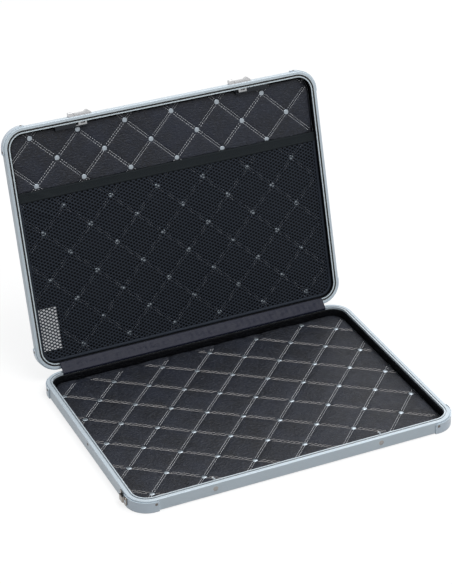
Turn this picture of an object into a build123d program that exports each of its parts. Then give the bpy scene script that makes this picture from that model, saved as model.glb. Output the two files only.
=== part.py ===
from build123d import *
from math import atan2, ceil, cos, degrees, hypot, radians, sin
import os

# Slim laptop hard case: two shallow aluminium-framed shells, quilted inside, on a piano hinge.
# Millimetres. X runs to the right along the front, Y to the back, Z up. The origin is the middle of
# the bottom panel's outside. Lid pieces are drawn shut, above the base, and then swung open about
# the hinge pin.

# ---- the two shells ----
CASE_W = 400.0  # outside width
CASE_D = 294.0  # outside depth
CORNER_R = 25.0  # outside corner radius in plan
BASE_H = 14.7  # underside to sealing ledge
LID_H = 9.7  # rim to outer face of the lid
PARTING = 0.5  # gap between the two rims when shut
OPEN_ANGLE = 105.1  # lid on the hinge's stops
WALL_T = 1.5  # frame wall
SHEET_T = 1.2  # bottom and top panels
SHEET_GAP = 0.05  # panel to frame
RIB_W = 7.0  # reach of the rib that carries the panel, from the outer face
RIB_T = 0.8
FOOT_ROUND = 0.8  # outer edge at the bottom
RIM_ROUND = 0.9  # outer edge at the ledge

# ---- rims ----
LIP_IN = 6.9  # inner face of both lips, from the outer face
LIP_T = 1.3
LEDGE_W = 3.9  # base sealing ledge
LEDGE_T = 2.3
GROOVE_DEPTH = 1.1  # shallow groove behind the ledge
LIP_RISE = 0.2  # base lip above the ledge
LIP_DROP = 3.2  # base lip below the ledge
FLANGE_W = 3.4  # lid flange outside the seal
SEAL_DEPTH = 2.6
SEAL_WEB = 1.0  # metal behind the seal groove
SEAL_CLEAR = 0.05
SEAL_BEAD_W = 1.0
SEAL_BEAD_RISE = 0.25  # bead past the lid's rim
STRIP_RECESS = 0.4  # rims set back under the hinge strip

# ---- linings ----
LINING_T = 1.1  # padded strip round the inside walls
LINING_BELOW = 2.6  # its upper edge below the ledge
LINING_ROUND = 0.5
LID_LINING_EDGE = 0.4  # its edge behind the lid's rim
PAD_GAP = 0.1
BASE_PAD_T = 3.0
LID_PAD_T = 2.6
PAD_ROUND = 1.2
CHANNEL_W = 3.2  # stitched channels of the quilting
CHANNEL_DEPTH = 1.0
BASE_DIAMOND = (64.6, 57.2)  # diagonals of a diamond
BASE_QUILT_TURN = 4.2  # degrees
BASE_QUILT_AT = (16.9, 9.3)
LID_DIAMOND = (59.2, 57.2)
LID_QUILT_TURN = 0.5
LID_QUILT_AT = (10.8, -15.2)

# ---- corner caps and wall rivets ----
CAP_T = 1.2
CAP_REACH = 29.0  # from the corner's outer faces to the end of a leg
CAP_BELOW = 1.8  # cap edge to the rim
CAP_END_R = 2.5
CAP_LIP = 0.8  # flange turned under the shell, on which the case stands
CAP_LIP_W = 9.0
CAP_ROUND = 0.9
CAP_RIVET_IN = 3.6  # rivet to the end of a leg
CAP_RIVET_Z = 9.4
LID_CAP_RIVET_Z = 5.3  # from the lid's rim
RIVET_HEAD_R = 1.75
RIVET_HEAD_H = 0.7
RIVET_R = 0.9
RIVET_TAIL_R = 1.3
RIVET_TAIL_H = 0.7
SIDE_RIVET_Y = -7.0
SIDE_RIVET_Z = 10.0

# ---- strap loops ----
LOOP_IN = 29.9  # front face to the middle of a loop
LOOP_Z = 7.4
LOOP_L = 20.4
LOOP_H = 9.6
BRIDGE_L = 7.0
BRIDGE_H = 6.8
BRIDGE_RISE = 3.4  # room behind the bridge
BRIDGE_SLOPE = 1.6
LOOP_T = 1.0
LOOP_RIVET_IN = 2.6

# ---- hinge ----
HINGE_FROM_CAP = 6.0  # hinge's ends to the back caps' legs
KNUCKLES = 13
KNUCKLE_GAP = 0.3
BARREL_R = 1.6
PIN_R = 0.8
PIN_CLEAR = 0.05
PIN_HEAD_R = 1.2
PIN_HEAD_T = 0.6
LEAF_T = 0.8
LEAF_H = 9.2  # pin to the free edge of a leaf
BARREL_CLEAR = 0.35  # round the barrel
STOP_IN = 27.0  # hinge's end to the middle of the outer stops; one more is half way
STOP_L = 12.0
STOP_NEAR = 2.3  # contact face, nearest and furthest from the pin
STOP_FAR = 5.6
STOP_ROOT = (2.4, 8.0)  # stop's foot on the leaf, from the pin
STOP_GAP = 0.1
HINGE_RIVET_Z = 6.4  # pin to rivets
HINGE_RIVET_IN = 4.0  # hinge's end to the first rivet
HINGE_RIVETS = 8
STRIP_PAST = 9.0  # strip past each end of the hinge
STRIP_T = 0.3
STRIP_GRIP = 2.1  # glued depth on each lip
STRIP_GLUE = 0.08
STRIP_BEND = 0.8

# ---- pocket in the lid ----
NET_FROM_PAD = 2.2
NET_T = 0.4
NET_CELL = (26.0, 25.0)  # diagonals of a mesh
NET_CORD = 2.2
NET_EDGE = 5.0
POCKET_DEPTH = 204.5  # hinge side to the pocket's mouth
BAND_H = 12.0
BAND_T = 1.4
BAND_ROUND = 0.4
LABEL_SIZE = (24.0, 52.0)
LABEL_IN = (22.0, 49.0)  # label's middle from the left side and the hinge side
LABEL_R = 1.0
LABEL_T = 0.2

# ---- latches: x from the latch's middle, depth from the outer face, height from the lid's rim ----
LATCH_IN = 97.5  # side face to a latch's middle
LATCH_TRAVEL = 3.0
PLATE_L = 28.8
PLATE_Z = (1.6, 8.2)
PLATE_T = 1.0
PLATE_R = 1.0
BLOCK_X = (-14.1, -7.8)
BLOCK_Z = (2.0, 7.8)
BLOCK_PROUD = 5.0
BLOCK_ROUND = 0.8
MOUTH_WALL = 0.45
THUMB_X = (-7.1, 14.0)
THUMB_Z = (2.6, 7.2)
THUMB_PROUD = 3.5
THUMB_CLEAR = 0.06
RIDGE_FOOT = 5.4
RIDGE_PEAK = 9.4
RIDGE_PROUD = 5.65
RIDGE_END = 2.2
RIDGE_ROUND = 0.5
POST_W = 4.0
POST_Z = (3.95, 5.05)
POST_SEAT = 0.6  # staked into the thumb slide
SLOT_CLEAR = 0.3
HOUSING_NEAR = 7.9  # latch's middle to the end beside the window
HOUSING_FAR = 33.0
HOUSING_BACK = 12.6
HOUSING_LOW = 0.3
HOUSING_T = 0.6
HOUSING_FLOOR_T = 0.5
HOUSING_END = 0.8
WINDOW_D = 4.2
HOUSING_CUT = 0.4  # lining cut back round the housing
BOSS_X = (8.8, 14.3)
BOSS_D = 4.6
BOSS_GAP = 0.05
SCREW_X = (-12.6, 12.2)
SCREW_Z = 5.0
SCREW_R = 0.8
SCREW_HEAD_R = 1.25
SCREW_D = 4.0
CLAW_X = (-3.8, 6.6)
CLAW_D = (7.15, 11.3)
CLAW_Z = (0.95, 1.85)
CLAW_WINDOW = (-1.2, 4.6)
CLAW_REACH = 1.9  # depth of the claw's window
WEB_T = 1.1
SPRING_L = 16.0
SPRING_T = 0.3
SPRING_FOLDS = 6
SPRING_Z = (2.2, 3.6)
SPRING_D = (7.7, 9.7)
SPRING_STOP_T = 1.2
SPRING_POST_X = 9.5
SPRING_GAP = 0.3  # stops past the spring and clear of the tail
TAIL_D = (10.2, 11.3)

# ---- strike hooks in the base ----
STRIKE_D = 7.3  # outer face to the strike
STRIKE_T = 1.2
STRIKE_FOOT_X = -1.5  # foot and rivet from the latch's middle
STRIKE_FOOT = (8.0, 4.6, 11.2)  # width, low edge, high edge
STRIKE_NECK = (-1.0, 1.4)
STRIKE_BARB = 1.6
STRIKE_SHOULDER = 1.2
STRIKE_PEAK_X = -0.8
STRIKE_SLOPE = 2.3  # drop from the point to the neck's right side
STRIKE_EDGE = 0.3
STRIKE_ROUND = 1.0
STRIKE_CATCH = 2.65  # barb's underside above the ledge
STRIKE_TIP = 3.9  # point above the ledge
STRIKE_BOSS_R = 2.9
STRIKE_RIVET_Z = 8.0
STRIKE_HEAD_R = 3.0
STRIKE_HEAD_H = 1.1
STRIKE_RIVET_R = 1.5
STRIKE_TAIL_R = 2.2
STRIKE_CUT = 0.5  # lining cut back round a strike

# ---- values that follow ----
LID_Z = BASE_H + PARTING
LATCH_X = CASE_W / 2 - LATCH_IN
LOOP_Y = LOOP_IN - CASE_D / 2
HINGE_L = CASE_W - 2 * (CAP_REACH + HINGE_FROM_CAP)
STOP_X = HINGE_L / 2 - STOP_IN
STRIP_W = HINGE_L + 2 * STRIP_PAST
BAND_Y = CASE_D / 2 - POCKET_DEPTH
RUN_X = CASE_W / 2 - CORNER_R
RUN_Y = CASE_D / 2 - CORNER_R
HINGE_Y = CASE_D / 2 + BARREL_R
HINGE_Z = BASE_H + PARTING / 2
PIN = Axis((0, HINGE_Y, HINGE_Z), (1, 0, 0))
LINING_IN = LIP_IN + LINING_T
LIP_OUT = LIP_IN - LIP_T
LID_PAD_Z = LID_H - SHEET_T - LID_PAD_T
SEAL_UNDER = SEAL_DEPTH + SEAL_WEB
HOUSING_FRONT = LIP_IN

pieces = {}


# ---------------------------------------------------------------- helpers
def section(points, rounds=()):
    """Closed face through points, with rounds given as (number of the point, radius)."""
    face = make_face(Polyline(*points, close=True))
    for number, radius in rounds:
        spot = Vector(*points[number])
        corner = min(face.vertices(), key=lambda v: (Vector(*v) - spot).length)
        face = fillet(corner, radius)
    return face


def block(x, y, z):
    """Box between three (low, high) pairs."""
    size = (x[1] - x[0], y[1] - y[0], z[1] - z[0])
    return Pos(x[0], y[0], z[0]) * Box(*size, align=(Align.MIN, Align.MIN, Align.MIN))


def wall(side, along, height, proud=0.0):
    """Plane on an outer wall face: x runs along the wall, y up and z outwards."""
    if side == "front":
        return Plane((along, -CASE_D / 2 - proud, height), x_dir=(1, 0, 0), z_dir=(0, -1, 0))
    if side == "back":
        return Plane((along, CASE_D / 2 + proud, height), x_dir=(-1, 0, 0), z_dir=(0, 1, 0))
    if side == "left":
        return Plane((-CASE_W / 2 - proud, along, height), x_dir=(0, -1, 0), z_dir=(-1, 0, 0))
    return Plane((CASE_W / 2 + proud, along, height), x_dir=(0, 1, 0), z_dir=(1, 0, 0))


def corner_run(face, leg_x, leg_y):
    """Rail round the front right corner. The face's x is the inset and its y the height."""
    front = Plane((RUN_X - leg_x, -CASE_D / 2, 0), x_dir=(0, 1, 0), z_dir=(1, 0, 0)) * face
    bend = Plane((RUN_X, -CASE_D / 2, 0), x_dir=(0, 1, 0), z_dir=(1, 0, 0)) * face
    right = Plane((CASE_W / 2, -RUN_Y, 0), x_dir=(-1, 0, 0), z_dir=(0, 1, 0)) * face
    centre = Axis((RUN_X, -RUN_Y, 0), (0, 0, 1))
    return [extrude(front, leg_x), revolve(bend, centre, 90), extrude(right, leg_y)]


def ring(face):
    """Rail with one section all round the case."""
    runs = corner_run(face, 2 * RUN_X, 2 * RUN_Y)
    back = Plane((CASE_W / 2, RUN_Y, 0), x_dir=(-1, 0, 0), z_dir=(0, 1, 0)) * face
    runs.append(revolve(back, Axis((RUN_X, RUN_Y, 0), (0, 0, 1)), 90))
    runs += [run.rotate(Axis.Z, 180) for run in runs]
    return Part() + runs


def plate(inset, low, high):
    """Flat plate with the case's outline, inset from the outer faces."""
    outline = RectangleRounded(CASE_W - 2 * inset, CASE_D - 2 * inset, CORNER_R - inset)
    return Pos(0, 0, low) * extrude(outline, high - low)


def rivet(head_r, head_h, shank_r, grip, tail_r, tail_h):
    """Domed rivet standing on the plane z = 0, with its tail clinched below the grip."""
    ball = (head_r**2 + head_h**2) / (2 * head_h)
    half = atan2(head_r, ball - head_h) / 2
    middle = (ball * sin(half), ball * cos(half) + head_h - ball)
    dome = ThreePointArc((0, head_h), middle, (head_r, 0))
    low = -grip - tail_h
    shank = [(head_r, 0), (shank_r, 0), (shank_r, -grip)]
    rest = Polyline(*shank, (tail_r, -grip), (tail_r, low), (0, low))
    close = Line((0, low), (0, head_h))
    return revolve(Plane.XZ * make_face([dome, *rest.edges(), close]), Axis.Z)


def wall_rivet(grip):
    return rivet(RIVET_HEAD_R, RIVET_HEAD_H, RIVET_R, grip, RIVET_TAIL_R, RIVET_TAIL_H)


def four(piece):
    """The front right piece and its mirror images, named by corner."""
    left = mirror(piece, about=Plane.YZ)
    return {
        "front_right": piece,
        "front_left": left,
        "back_right": mirror(piece, about=Plane.XZ),
        "back_left": mirror(left, about=Plane.XZ),
    }


def opened(piece):
    """A lid piece swung from shut to open."""
    return piece.rotate(PIN, -OPEN_ANGLE)


# ---------------------------------------------------------------- shells
def base_section():
    rib = SHEET_T + SHEET_GAP
    points = [
        (0, 0),
        (0, BASE_H),
        (LEDGE_W, BASE_H),
        (LEDGE_W, BASE_H - GROOVE_DEPTH),
        (LIP_OUT, BASE_H - GROOVE_DEPTH),
        (LIP_OUT, BASE_H + LIP_RISE),
        (LIP_IN, BASE_H + LIP_RISE),
        (LIP_IN, BASE_H - LIP_DROP),
        (LIP_OUT, BASE_H - LIP_DROP),
        (LIP_OUT, BASE_H - LEDGE_T),
        (WALL_T, BASE_H - LEDGE_T),
        (WALL_T, rib + RIB_T),
        (RIB_W, rib + RIB_T),
        (RIB_W, rib),
        (WALL_T, rib),
        (WALL_T, 0),
    ]
    return section(points, [(0, FOOT_ROUND), (1, RIM_ROUND)])


def lid_section():
    rib = LID_H - SHEET_T - SHEET_GAP
    points = [
        (0, 0),
        (FLANGE_W, 0),
        (FLANGE_W, SEAL_DEPTH),
        (LIP_OUT, SEAL_DEPTH),
        (LIP_OUT, 0),
        (LIP_IN, 0),
        (LIP_IN, SEAL_UNDER),
        (WALL_T, SEAL_UNDER),
        (WALL_T, rib - RIB_T),
        (RIB_W, rib - RIB_T),
        (RIB_W, rib),
        (WALL_T, rib),
        (WALL_T, LID_H),
        (0, LID_H),
    ]
    return section(points, [(0, RIM_ROUND), (13, FOOT_ROUND)])


def seal_section():
    """Seal pressed into the lid's groove, with a bead towards the base."""
    middle = (FLANGE_W + LIP_OUT) / 2
    low = SEAL_BEAD_RISE
    points = [
        (FLANGE_W + SEAL_CLEAR, SEAL_DEPTH),
        (FLANGE_W + SEAL_CLEAR, low),
        (middle - SEAL_BEAD_W / 2, low),
        (middle - SEAL_BEAD_W / 2, -SEAL_BEAD_RISE),
        (middle + SEAL_BEAD_W / 2, -SEAL_BEAD_RISE),
        (middle + SEAL_BEAD_W / 2, low),
        (LIP_OUT - SEAL_CLEAR, low),
        (LIP_OUT - SEAL_CLEAR, SEAL_DEPTH),
    ]
    return section(points, [(3, SEAL_BEAD_W * 0.45), (4, SEAL_BEAD_W * 0.45)])


def base_lining_section():
    low = SHEET_T + SHEET_GAP + RIB_T
    high = BASE_H - LINING_BELOW
    points = [(LIP_IN, low), (LINING_IN, low), (LINING_IN, high), (LIP_IN, high)]
    return section(points, [(2, LINING_ROUND)])


def lid_lining_section():
    high = LID_H - SHEET_T
    points = [(LIP_IN, LID_LINING_EDGE), (LINING_IN, LID_LINING_EDGE)]
    points += [(LINING_IN, high), (RIB_W, high)]
    points += [(RIB_W, high - RIB_T - SHEET_GAP), (LIP_IN, high - RIB_T - SHEET_GAP)]
    return section(points, [(1, LINING_ROUND)])


def corner_cap(height):
    """Drawn cap over the front right corner of the base: wall, turned lip and rounded leg ends."""
    points = [(-CAP_T, -CAP_LIP), (CAP_LIP_W, -CAP_LIP), (CAP_LIP_W, 0)]
    points += [(0, 0), (0, height), (-CAP_T, height)]
    leg = CAP_REACH - CORNER_R
    cap = Part() + corner_run(section(points, [(0, CAP_ROUND)]), leg, leg)
    leg_ends = cap.edges().filter_by(Axis.Y).group_by(Axis.X)[0]
    leg_ends += cap.edges().filter_by(Axis.X).group_by(Axis.Y)[-1]
    return fillet([edge for edge in leg_ends if edge.center().Z > height / 2], CAP_END_R)


def cap_rivets(height, sides):
    """A rivet in each cap leg, but only at the back on the sides where the loops have their own."""
    out_x = CASE_W / 2 - CAP_REACH + CAP_RIVET_IN
    out_y = CASE_D / 2 - CAP_REACH + CAP_RIVET_IN
    places = [(side, turn * out_x) for side in ("front", "back") for turn in (-1, 1)]
    places += [(side, turn * out_y) for side in ("left", "right") for turn in sides]
    return [wall(side, along, height, CAP_T) * wall_rivet(CAP_T + WALL_T) for side, along in places]


def quilt_channels(at, diamond, turn, height, into):
    """V channels along both diagonals' directions, cut from a face at a height, up or down."""
    a, b = diamond[0] / 2, diamond[1] / 2
    reach = hypot(CASE_W, CASE_D) / 2
    lines = ceil(reach / (2 * a * b / hypot(a, b))) + 1
    half = CHANNEL_W / 2
    vee = make_face(Polyline((-half, 0), (half, 0), (0, into * CHANNEL_DEPTH), close=True))
    bar = extrude(Plane.YZ * vee, reach, both=True)
    cuts = []
    for slant in (1, -1):
        for k in range(-lines, lines + 1):
            spot = Pos(k * a, -slant * k * b, 0) * Rot(0, 0, slant * degrees(atan2(b, a)))
            cuts.append(Pos(at[0], at[1], height) * Rot(0, 0, turn) * spot * bar)
    return cuts


def make_shells():
    pieces["base_frame"] = ring(base_section())
    pieces["base_panel"] = plate(WALL_T + SHEET_GAP, 0, SHEET_T)
    pad = plate(LINING_IN + PAD_GAP, SHEET_T, SHEET_T + BASE_PAD_T)
    pad = fillet(pad.faces().sort_by(Axis.Z)[-1].edges(), PAD_ROUND)
    top = SHEET_T + BASE_PAD_T
    channels = quilt_channels(BASE_QUILT_AT, BASE_DIAMOND, BASE_QUILT_TURN, top, -1)
    pieces["base_floor_lining"] = pad - channels
    lining = ring(base_lining_section())
    for side in (-1, 1):
        half = STRIKE_FOOT[0] / 2 + STRIKE_CUT
        x = side * LATCH_X + STRIKE_FOOT_X
        lining -= block((x - half, x + half), (-CASE_D / 2, 0), (STRIKE_FOOT[1] - STRIKE_CUT, BASE_H))
    pieces["base_wall_lining"] = lining

    up = Pos(0, 0, LID_Z)
    pieces["lid_frame"] = up * ring(lid_section())
    pieces["lid_panel"] = up * plate(WALL_T + SHEET_GAP, LID_H - SHEET_T, LID_H)
    pad = plate(LINING_IN + PAD_GAP, LID_PAD_Z, LID_H - SHEET_T)
    pad = fillet(pad.faces().sort_by(Axis.Z)[0].edges(), PAD_ROUND)
    pad -= quilt_channels(LID_QUILT_AT, LID_DIAMOND, LID_QUILT_TURN, LID_PAD_Z, 1)
    pieces["lid_lining"] = up * pad
    lining = ring(lid_lining_section())
    for side in (-1, 1):
        reaches = (-HOUSING_NEAR - HOUSING_CUT, HOUSING_FAR + HOUSING_CUT)
        ends = sorted(side * (LATCH_X + reach) for reach in reaches)
        lining -= block(ends, (-CASE_D / 2, 0), (-1, LID_H))
    half, high = STRIP_W / 2 + PAD_GAP, STRIP_GRIP + STRIP_T + PAD_GAP
    lining -= block((-half, half), (0, CASE_D / 2), (0, high))
    pieces["lid_wall_lining"] = up * lining
    pieces["lid_gasket"] = up * ring(seal_section())


def make_caps_and_rivets():
    for corner, cap in four(corner_cap(BASE_H - CAP_BELOW)).items():
        pieces["base_cap_" + corner] = cap
    for corner, cap in four(corner_cap(LID_H - CAP_BELOW)).items():
        pieces["lid_cap_" + corner] = Pos(0, 0, LID_Z + LID_H) * mirror(cap, about=Plane.XY)
    pieces["base_cap_rivets"] = Part() + cap_rivets(CAP_RIVET_Z, (1,))
    pieces["lid_cap_rivets"] = Part() + cap_rivets(LID_Z + LID_CAP_RIVET_Z, (-1, 1))
    sides = [wall(side, SIDE_RIVET_Y, SIDE_RIVET_Z) * wall_rivet(WALL_T) for side in ("left", "right")]
    pieces["base_side_rivets"] = Part() + sides
    for shell in ("base", "lid"):
        for corner in ("front_left", "front_right", "back_left", "back_right"):
            pieces[f"{shell}_cap_{corner}"] -= pieces[f"{shell}_cap_rivets"]
        pieces[f"{shell}_frame"] -= pieces[f"{shell}_cap_rivets"]
    pieces["base_frame"] -= pieces["base_side_rivets"]


# ---------------------------------------------------------------- strap loops
def strap_loop():
    """Left loop on its wall plane: raised bridge, one foot on the wall and one on the cap's leg."""
    half, bridge, foot = LOOP_L / 2, BRIDGE_L / 2, BRIDGE_L / 2 + BRIDGE_SLOPE
    top, bend = BRIDGE_RISE + LOOP_T, LOOP_T / 2
    points = [(-half, 0), (-foot, 0), (-bridge, BRIDGE_RISE)]
    points += [(bridge, BRIDGE_RISE), (foot, CAP_T), (half, CAP_T)]
    points += [(half, CAP_T + LOOP_T), (foot + bend, CAP_T + LOOP_T), (bridge + bend, top)]
    points += [(-bridge - bend, top), (-foot - bend, LOOP_T), (-half, LOOP_T)]
    ribbon = extrude(Plane.XZ * section(points), LOOP_H / 2, both=True)
    for side in (-1, 1):
        edge = sorted((side * BRIDGE_H / 2, side * LOOP_H / 2))
        ribbon -= block((-foot - bend, foot + bend), edge, (-1, top + 1))
    ends = ribbon.edges().filter_by(Axis.Z).group_by(Axis.X)
    return fillet(ends[0] + ends[-1], CAP_END_R / 2)


def make_strap_loops():
    out = LOOP_L / 2 - LOOP_RIVET_IN
    low, high = LOOP_T, CAP_T + LOOP_T
    rivets = Part()
    for side in ("left", "right"):
        rivets += wall(side, LOOP_Y + out, LOOP_Z, low) * wall_rivet(low + WALL_T)
        rivets += wall(side, LOOP_Y - out, LOOP_Z, high) * wall_rivet(high + WALL_T)
    left = wall("left", LOOP_Y, LOOP_Z) * strap_loop()
    pieces["strap_loop_left"] = left - rivets
    pieces["strap_loop_right"] = mirror(left, about=Plane.YZ) - rivets
    pieces["strap_loop_rivets"] = rivets
    for name in ("base_cap_front_left", "base_cap_front_right", "base_frame"):
        pieces[name] -= rivets


# ---------------------------------------------------------------- hinge
def stop_lug():
    """Stop on the base leaf, seen along the pin. Its face halves the angle of the open leaves."""
    halfway = radians((180 - OPEN_ANGLE) / 2)
    along = (sin(halfway), -cos(halfway))
    back = (-cos(halfway) * STOP_GAP / 2, -sin(halfway) * STOP_GAP / 2)
    near = (along[0] * STOP_NEAR + back[0], along[1] * STOP_NEAR + back[1])
    far = (along[0] * STOP_FAR + back[0], along[1] * STOP_FAR + back[1])
    leaf = LEAF_T - BARREL_R
    return make_face(Polyline((leaf, -STOP_ROOT[0]), near, far, (leaf, -STOP_ROOT[1]), close=True))


def hinge_leaf(first, bore):
    """Base leaf about a pin on the X axis: plate, every other knuckle from the first, stops."""
    pitch = HINGE_L / KNUCKLES
    face, back = LEAF_T - BARREL_R, -BARREL_R
    parts = [block((-HINGE_L / 2, HINGE_L / 2), (back, face), (-LEAF_H, -BARREL_R - BARREL_CLEAR))]
    root = Pos(back + LEAF_T / 2, -BARREL_R) * Rectangle(LEAF_T, 2 * BARREL_R)
    tube = Plane.YZ * (Circle(BARREL_R) + root)
    hole = Plane.YZ * Circle(bore)
    for k in range(first, KNUCKLES, 2):
        start = -HINGE_L / 2 + k * pitch + KNUCKLE_GAP / 2
        parts.append(Pos(start, 0, 0) * extrude(tube, pitch - KNUCKLE_GAP))
    leaf = Part() + parts - extrude(hole, HINGE_L, both=True)
    lug = extrude(Plane.YZ * stop_lug(), STOP_L / 2, both=True)
    return leaf + [Pos(x, 0, 0) * lug for x in (-STOP_X, 0, STOP_X)]


def make_hinge():
    seat = Pos(0, HINGE_Y, HINGE_Z)
    base_leaf = seat * hinge_leaf(0, PIN_R)
    lid_leaf = seat * mirror(hinge_leaf(1, PIN_R + PIN_CLEAR), about=Plane.XY)
    barrel = Plane.YZ * Circle(BARREL_R + BARREL_CLEAR)
    relief = seat * extrude(barrel, HINGE_L / 2 + KNUCKLE_GAP, both=True)
    strip = (-STRIP_W / 2, STRIP_W / 2)
    back = (CASE_D / 2 - LIP_IN - 1, CASE_D / 2 + 1)
    pieces["base_frame"] -= [relief, block(strip, back, (BASE_H - STRIP_RECESS, LID_Z))]
    pieces["lid_frame"] -= [relief, block(strip, back, (BASE_H, LID_Z + STRIP_RECESS))]
    pieces["lid_gasket"] -= block(strip, back, (BASE_H - 1, LID_Z + STRIP_RECESS))

    first = HINGE_RIVET_IN - HINGE_L / 2
    pitch = -2 * first / (HINGE_RIVETS - 1)
    places = [first + k * pitch for k in range(HINGE_RIVETS)]
    one = wall_rivet(LEAF_T + WALL_T)
    low = Part() + [wall("back", x, HINGE_Z - HINGE_RIVET_Z, LEAF_T) * one for x in places]
    high = Part() + [wall("back", x, HINGE_Z + HINGE_RIVET_Z, LEAF_T) * one for x in places]
    pieces["hinge_rivets_base"] = low
    pieces["hinge_rivets_lid"] = high
    pieces["hinge_leaf_base"] = base_leaf - low
    pieces["hinge_leaf_lid"] = lid_leaf - high
    pieces["base_frame"] -= low
    pieces["lid_frame"] -= high
    head = Pos(HINGE_L / 2, 0, 0) * extrude(Plane.YZ * Circle(PIN_HEAD_R), PIN_HEAD_T)
    pin = extrude(Plane.YZ * Circle(PIN_R), HINGE_L / 2, both=True)
    pieces["hinge_pin"] = seat * (pin + [head, mirror(head, about=Plane.YZ)])


def swung(y, z):
    """Where a point of the shut lid goes when the lid opens, seen along the pin."""
    turn = radians(-OPEN_ANGLE)
    out, up = y - HINGE_Y, z - HINGE_Z
    return (HINGE_Y + out * cos(turn) - up * sin(turn), HINGE_Z + out * sin(turn) + up * cos(turn))


def hinge_strip():
    """Fabric cover, from the base's lip to the open lid's lip, drawn as it hangs open."""
    mid = CASE_D / 2 - LIP_IN - STRIP_GLUE - STRIP_T / 2
    points = [(mid, BASE_H - STRIP_GRIP), (mid, BASE_H + LIP_RISE)]
    points += [swung(mid, LID_Z), swung(mid, LID_Z + STRIP_GRIP)]
    path = FilletPolyline(*points, radius=STRIP_BEND)
    band = offset(path, STRIP_T / 2, side=Side.BOTH)
    return extrude(Plane.YZ * make_face(band.edges()), STRIP_W / 2, both=True)


# ---------------------------------------------------------------- pocket
def pocket_net(low):
    """Open net between the band and the hinge side, one sheet with diamond holes."""
    inset = LINING_IN
    sheet = RectangleRounded(CASE_W - 2 * inset, CASE_D - 2 * inset, CORNER_R - inset)
    near, far = BAND_Y, CASE_D / 2 - inset
    sheet &= Pos(0, (near + far) / 2) * Rectangle(CASE_W, far - near)
    half_x = CASE_W / 2 - inset - NET_EDGE
    span = far - near - 2 * NET_EDGE
    a, b = NET_CELL[0] / 2, NET_CELL[1] / 2
    hole_a, hole_b = a - NET_CORD * hypot(a, b) / (2 * b), b - NET_CORD * hypot(a, b) / (2 * a)
    holes = []
    columns, rows = int(half_x // a), int(span // b)
    start = near + NET_EDGE + (span - (rows - 2) * b) / 2
    for j in range(rows - 1):
        for i in range(-columns + 1, columns):
            y = start + j * b
            in_corner = abs(i * a) > RUN_X - a and y > RUN_Y - b
            if (i + j) % 2 == 0 and not in_corner:
                x = i * a
                diamond = [(x - hole_a, y), (x, y - hole_b), (x + hole_a, y), (x, y + hole_b)]
                holes.append(Wire.make_polygon([Vector(*p) for p in diamond], close=True))
    outline = sheet.faces()[0].outer_wire()
    return Pos(0, 0, low) * extrude(Face(outline, holes), NET_T, dir=(0, 0, 1))


def make_pocket():
    level = LID_Z + LID_PAD_Z - NET_FROM_PAD
    pieces["pocket_net"] = pocket_net(level)
    half = CASE_W / 2 - LINING_IN
    band_y = (BAND_Y - BAND_H, BAND_Y)
    middle = level + NET_T / 2
    band = block((-half, half), band_y, (middle - BAND_T / 2, middle + BAND_T / 2))
    pieces["pocket_band"] = fillet(band.edges().filter_by(Axis.X), BAND_ROUND)
    place = Pos(LABEL_IN[0] - CASE_W / 2, CASE_D / 2 - LABEL_IN[1], LID_Z + LID_PAD_Z - LABEL_T)
    pieces["label_tag"] = place * extrude(RectangleRounded(*LABEL_SIZE, LABEL_R), LABEL_T)


# ---------------------------------------------------------------- latches
def latch_plate():
    """Outer plate, with the block that the thumb slide runs into."""
    middle = (PLATE_Z[0] + PLATE_Z[1]) / 2
    sheet = RectangleRounded(PLATE_L, PLATE_Z[1] - PLATE_Z[0], PLATE_R)
    body = Plane((0, 0, middle), x_dir=(1, 0, 0), z_dir=(0, -1, 0)) * extrude(sheet, PLATE_T)
    guide = block(BLOCK_X, (-BLOCK_PROUD, -PLATE_T), BLOCK_Z)
    rounded = guide.edges().filter_by(Axis.Z).group_by(Axis.Y)[0]
    rounded += guide.edges().filter_by(Axis.X).group_by(Axis.Y)[0]
    guide = fillet(rounded, BLOCK_ROUND)
    deepest = THUMB_X[0] - LATCH_TRAVEL - MOUTH_WALL
    mouth = block(
        (deepest, BLOCK_X[1] + 1),
        (-BLOCK_PROUD + 2 * MOUTH_WALL, -PLATE_T),
        (BLOCK_Z[0] + MOUTH_WALL, BLOCK_Z[1] - MOUTH_WALL),
    )
    return body + (guide - mouth)


def post_slot(depth):
    """Room for the post to travel, through the plate and the frame's wall."""
    x = (-POST_W / 2 - LATCH_TRAVEL - SLOT_CLEAR, POST_W / 2 + SLOT_CLEAR)
    return block(x, depth, (POST_Z[0] - SLOT_CLEAR, POST_Z[1] + SLOT_CLEAR))


def latch_thumb():
    """Thumb slide: a bar with a triangular ridge, its tail facing the block's mouth."""
    face = -PLATE_T - THUMB_CLEAR
    points = [
        (THUMB_X[0], face),
        (THUMB_X[0], -THUMB_PROUD),
        (RIDGE_FOOT, -THUMB_PROUD),
        (RIDGE_PEAK, -RIDGE_PROUD),
        (THUMB_X[1], -RIDGE_END),
        (THUMB_X[1], face),
    ]
    bar = extrude(section(points, [(3, RIDGE_ROUND)]), THUMB_Z[1] - THUMB_Z[0])
    return Pos(0, 0, THUMB_Z[0]) * bar - post_socket()


def post_socket():
    seat = (-PLATE_T - THUMB_CLEAR - POST_SEAT, 0)
    return block((-POST_W / 2, POST_W / 2), seat, POST_Z)


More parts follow.
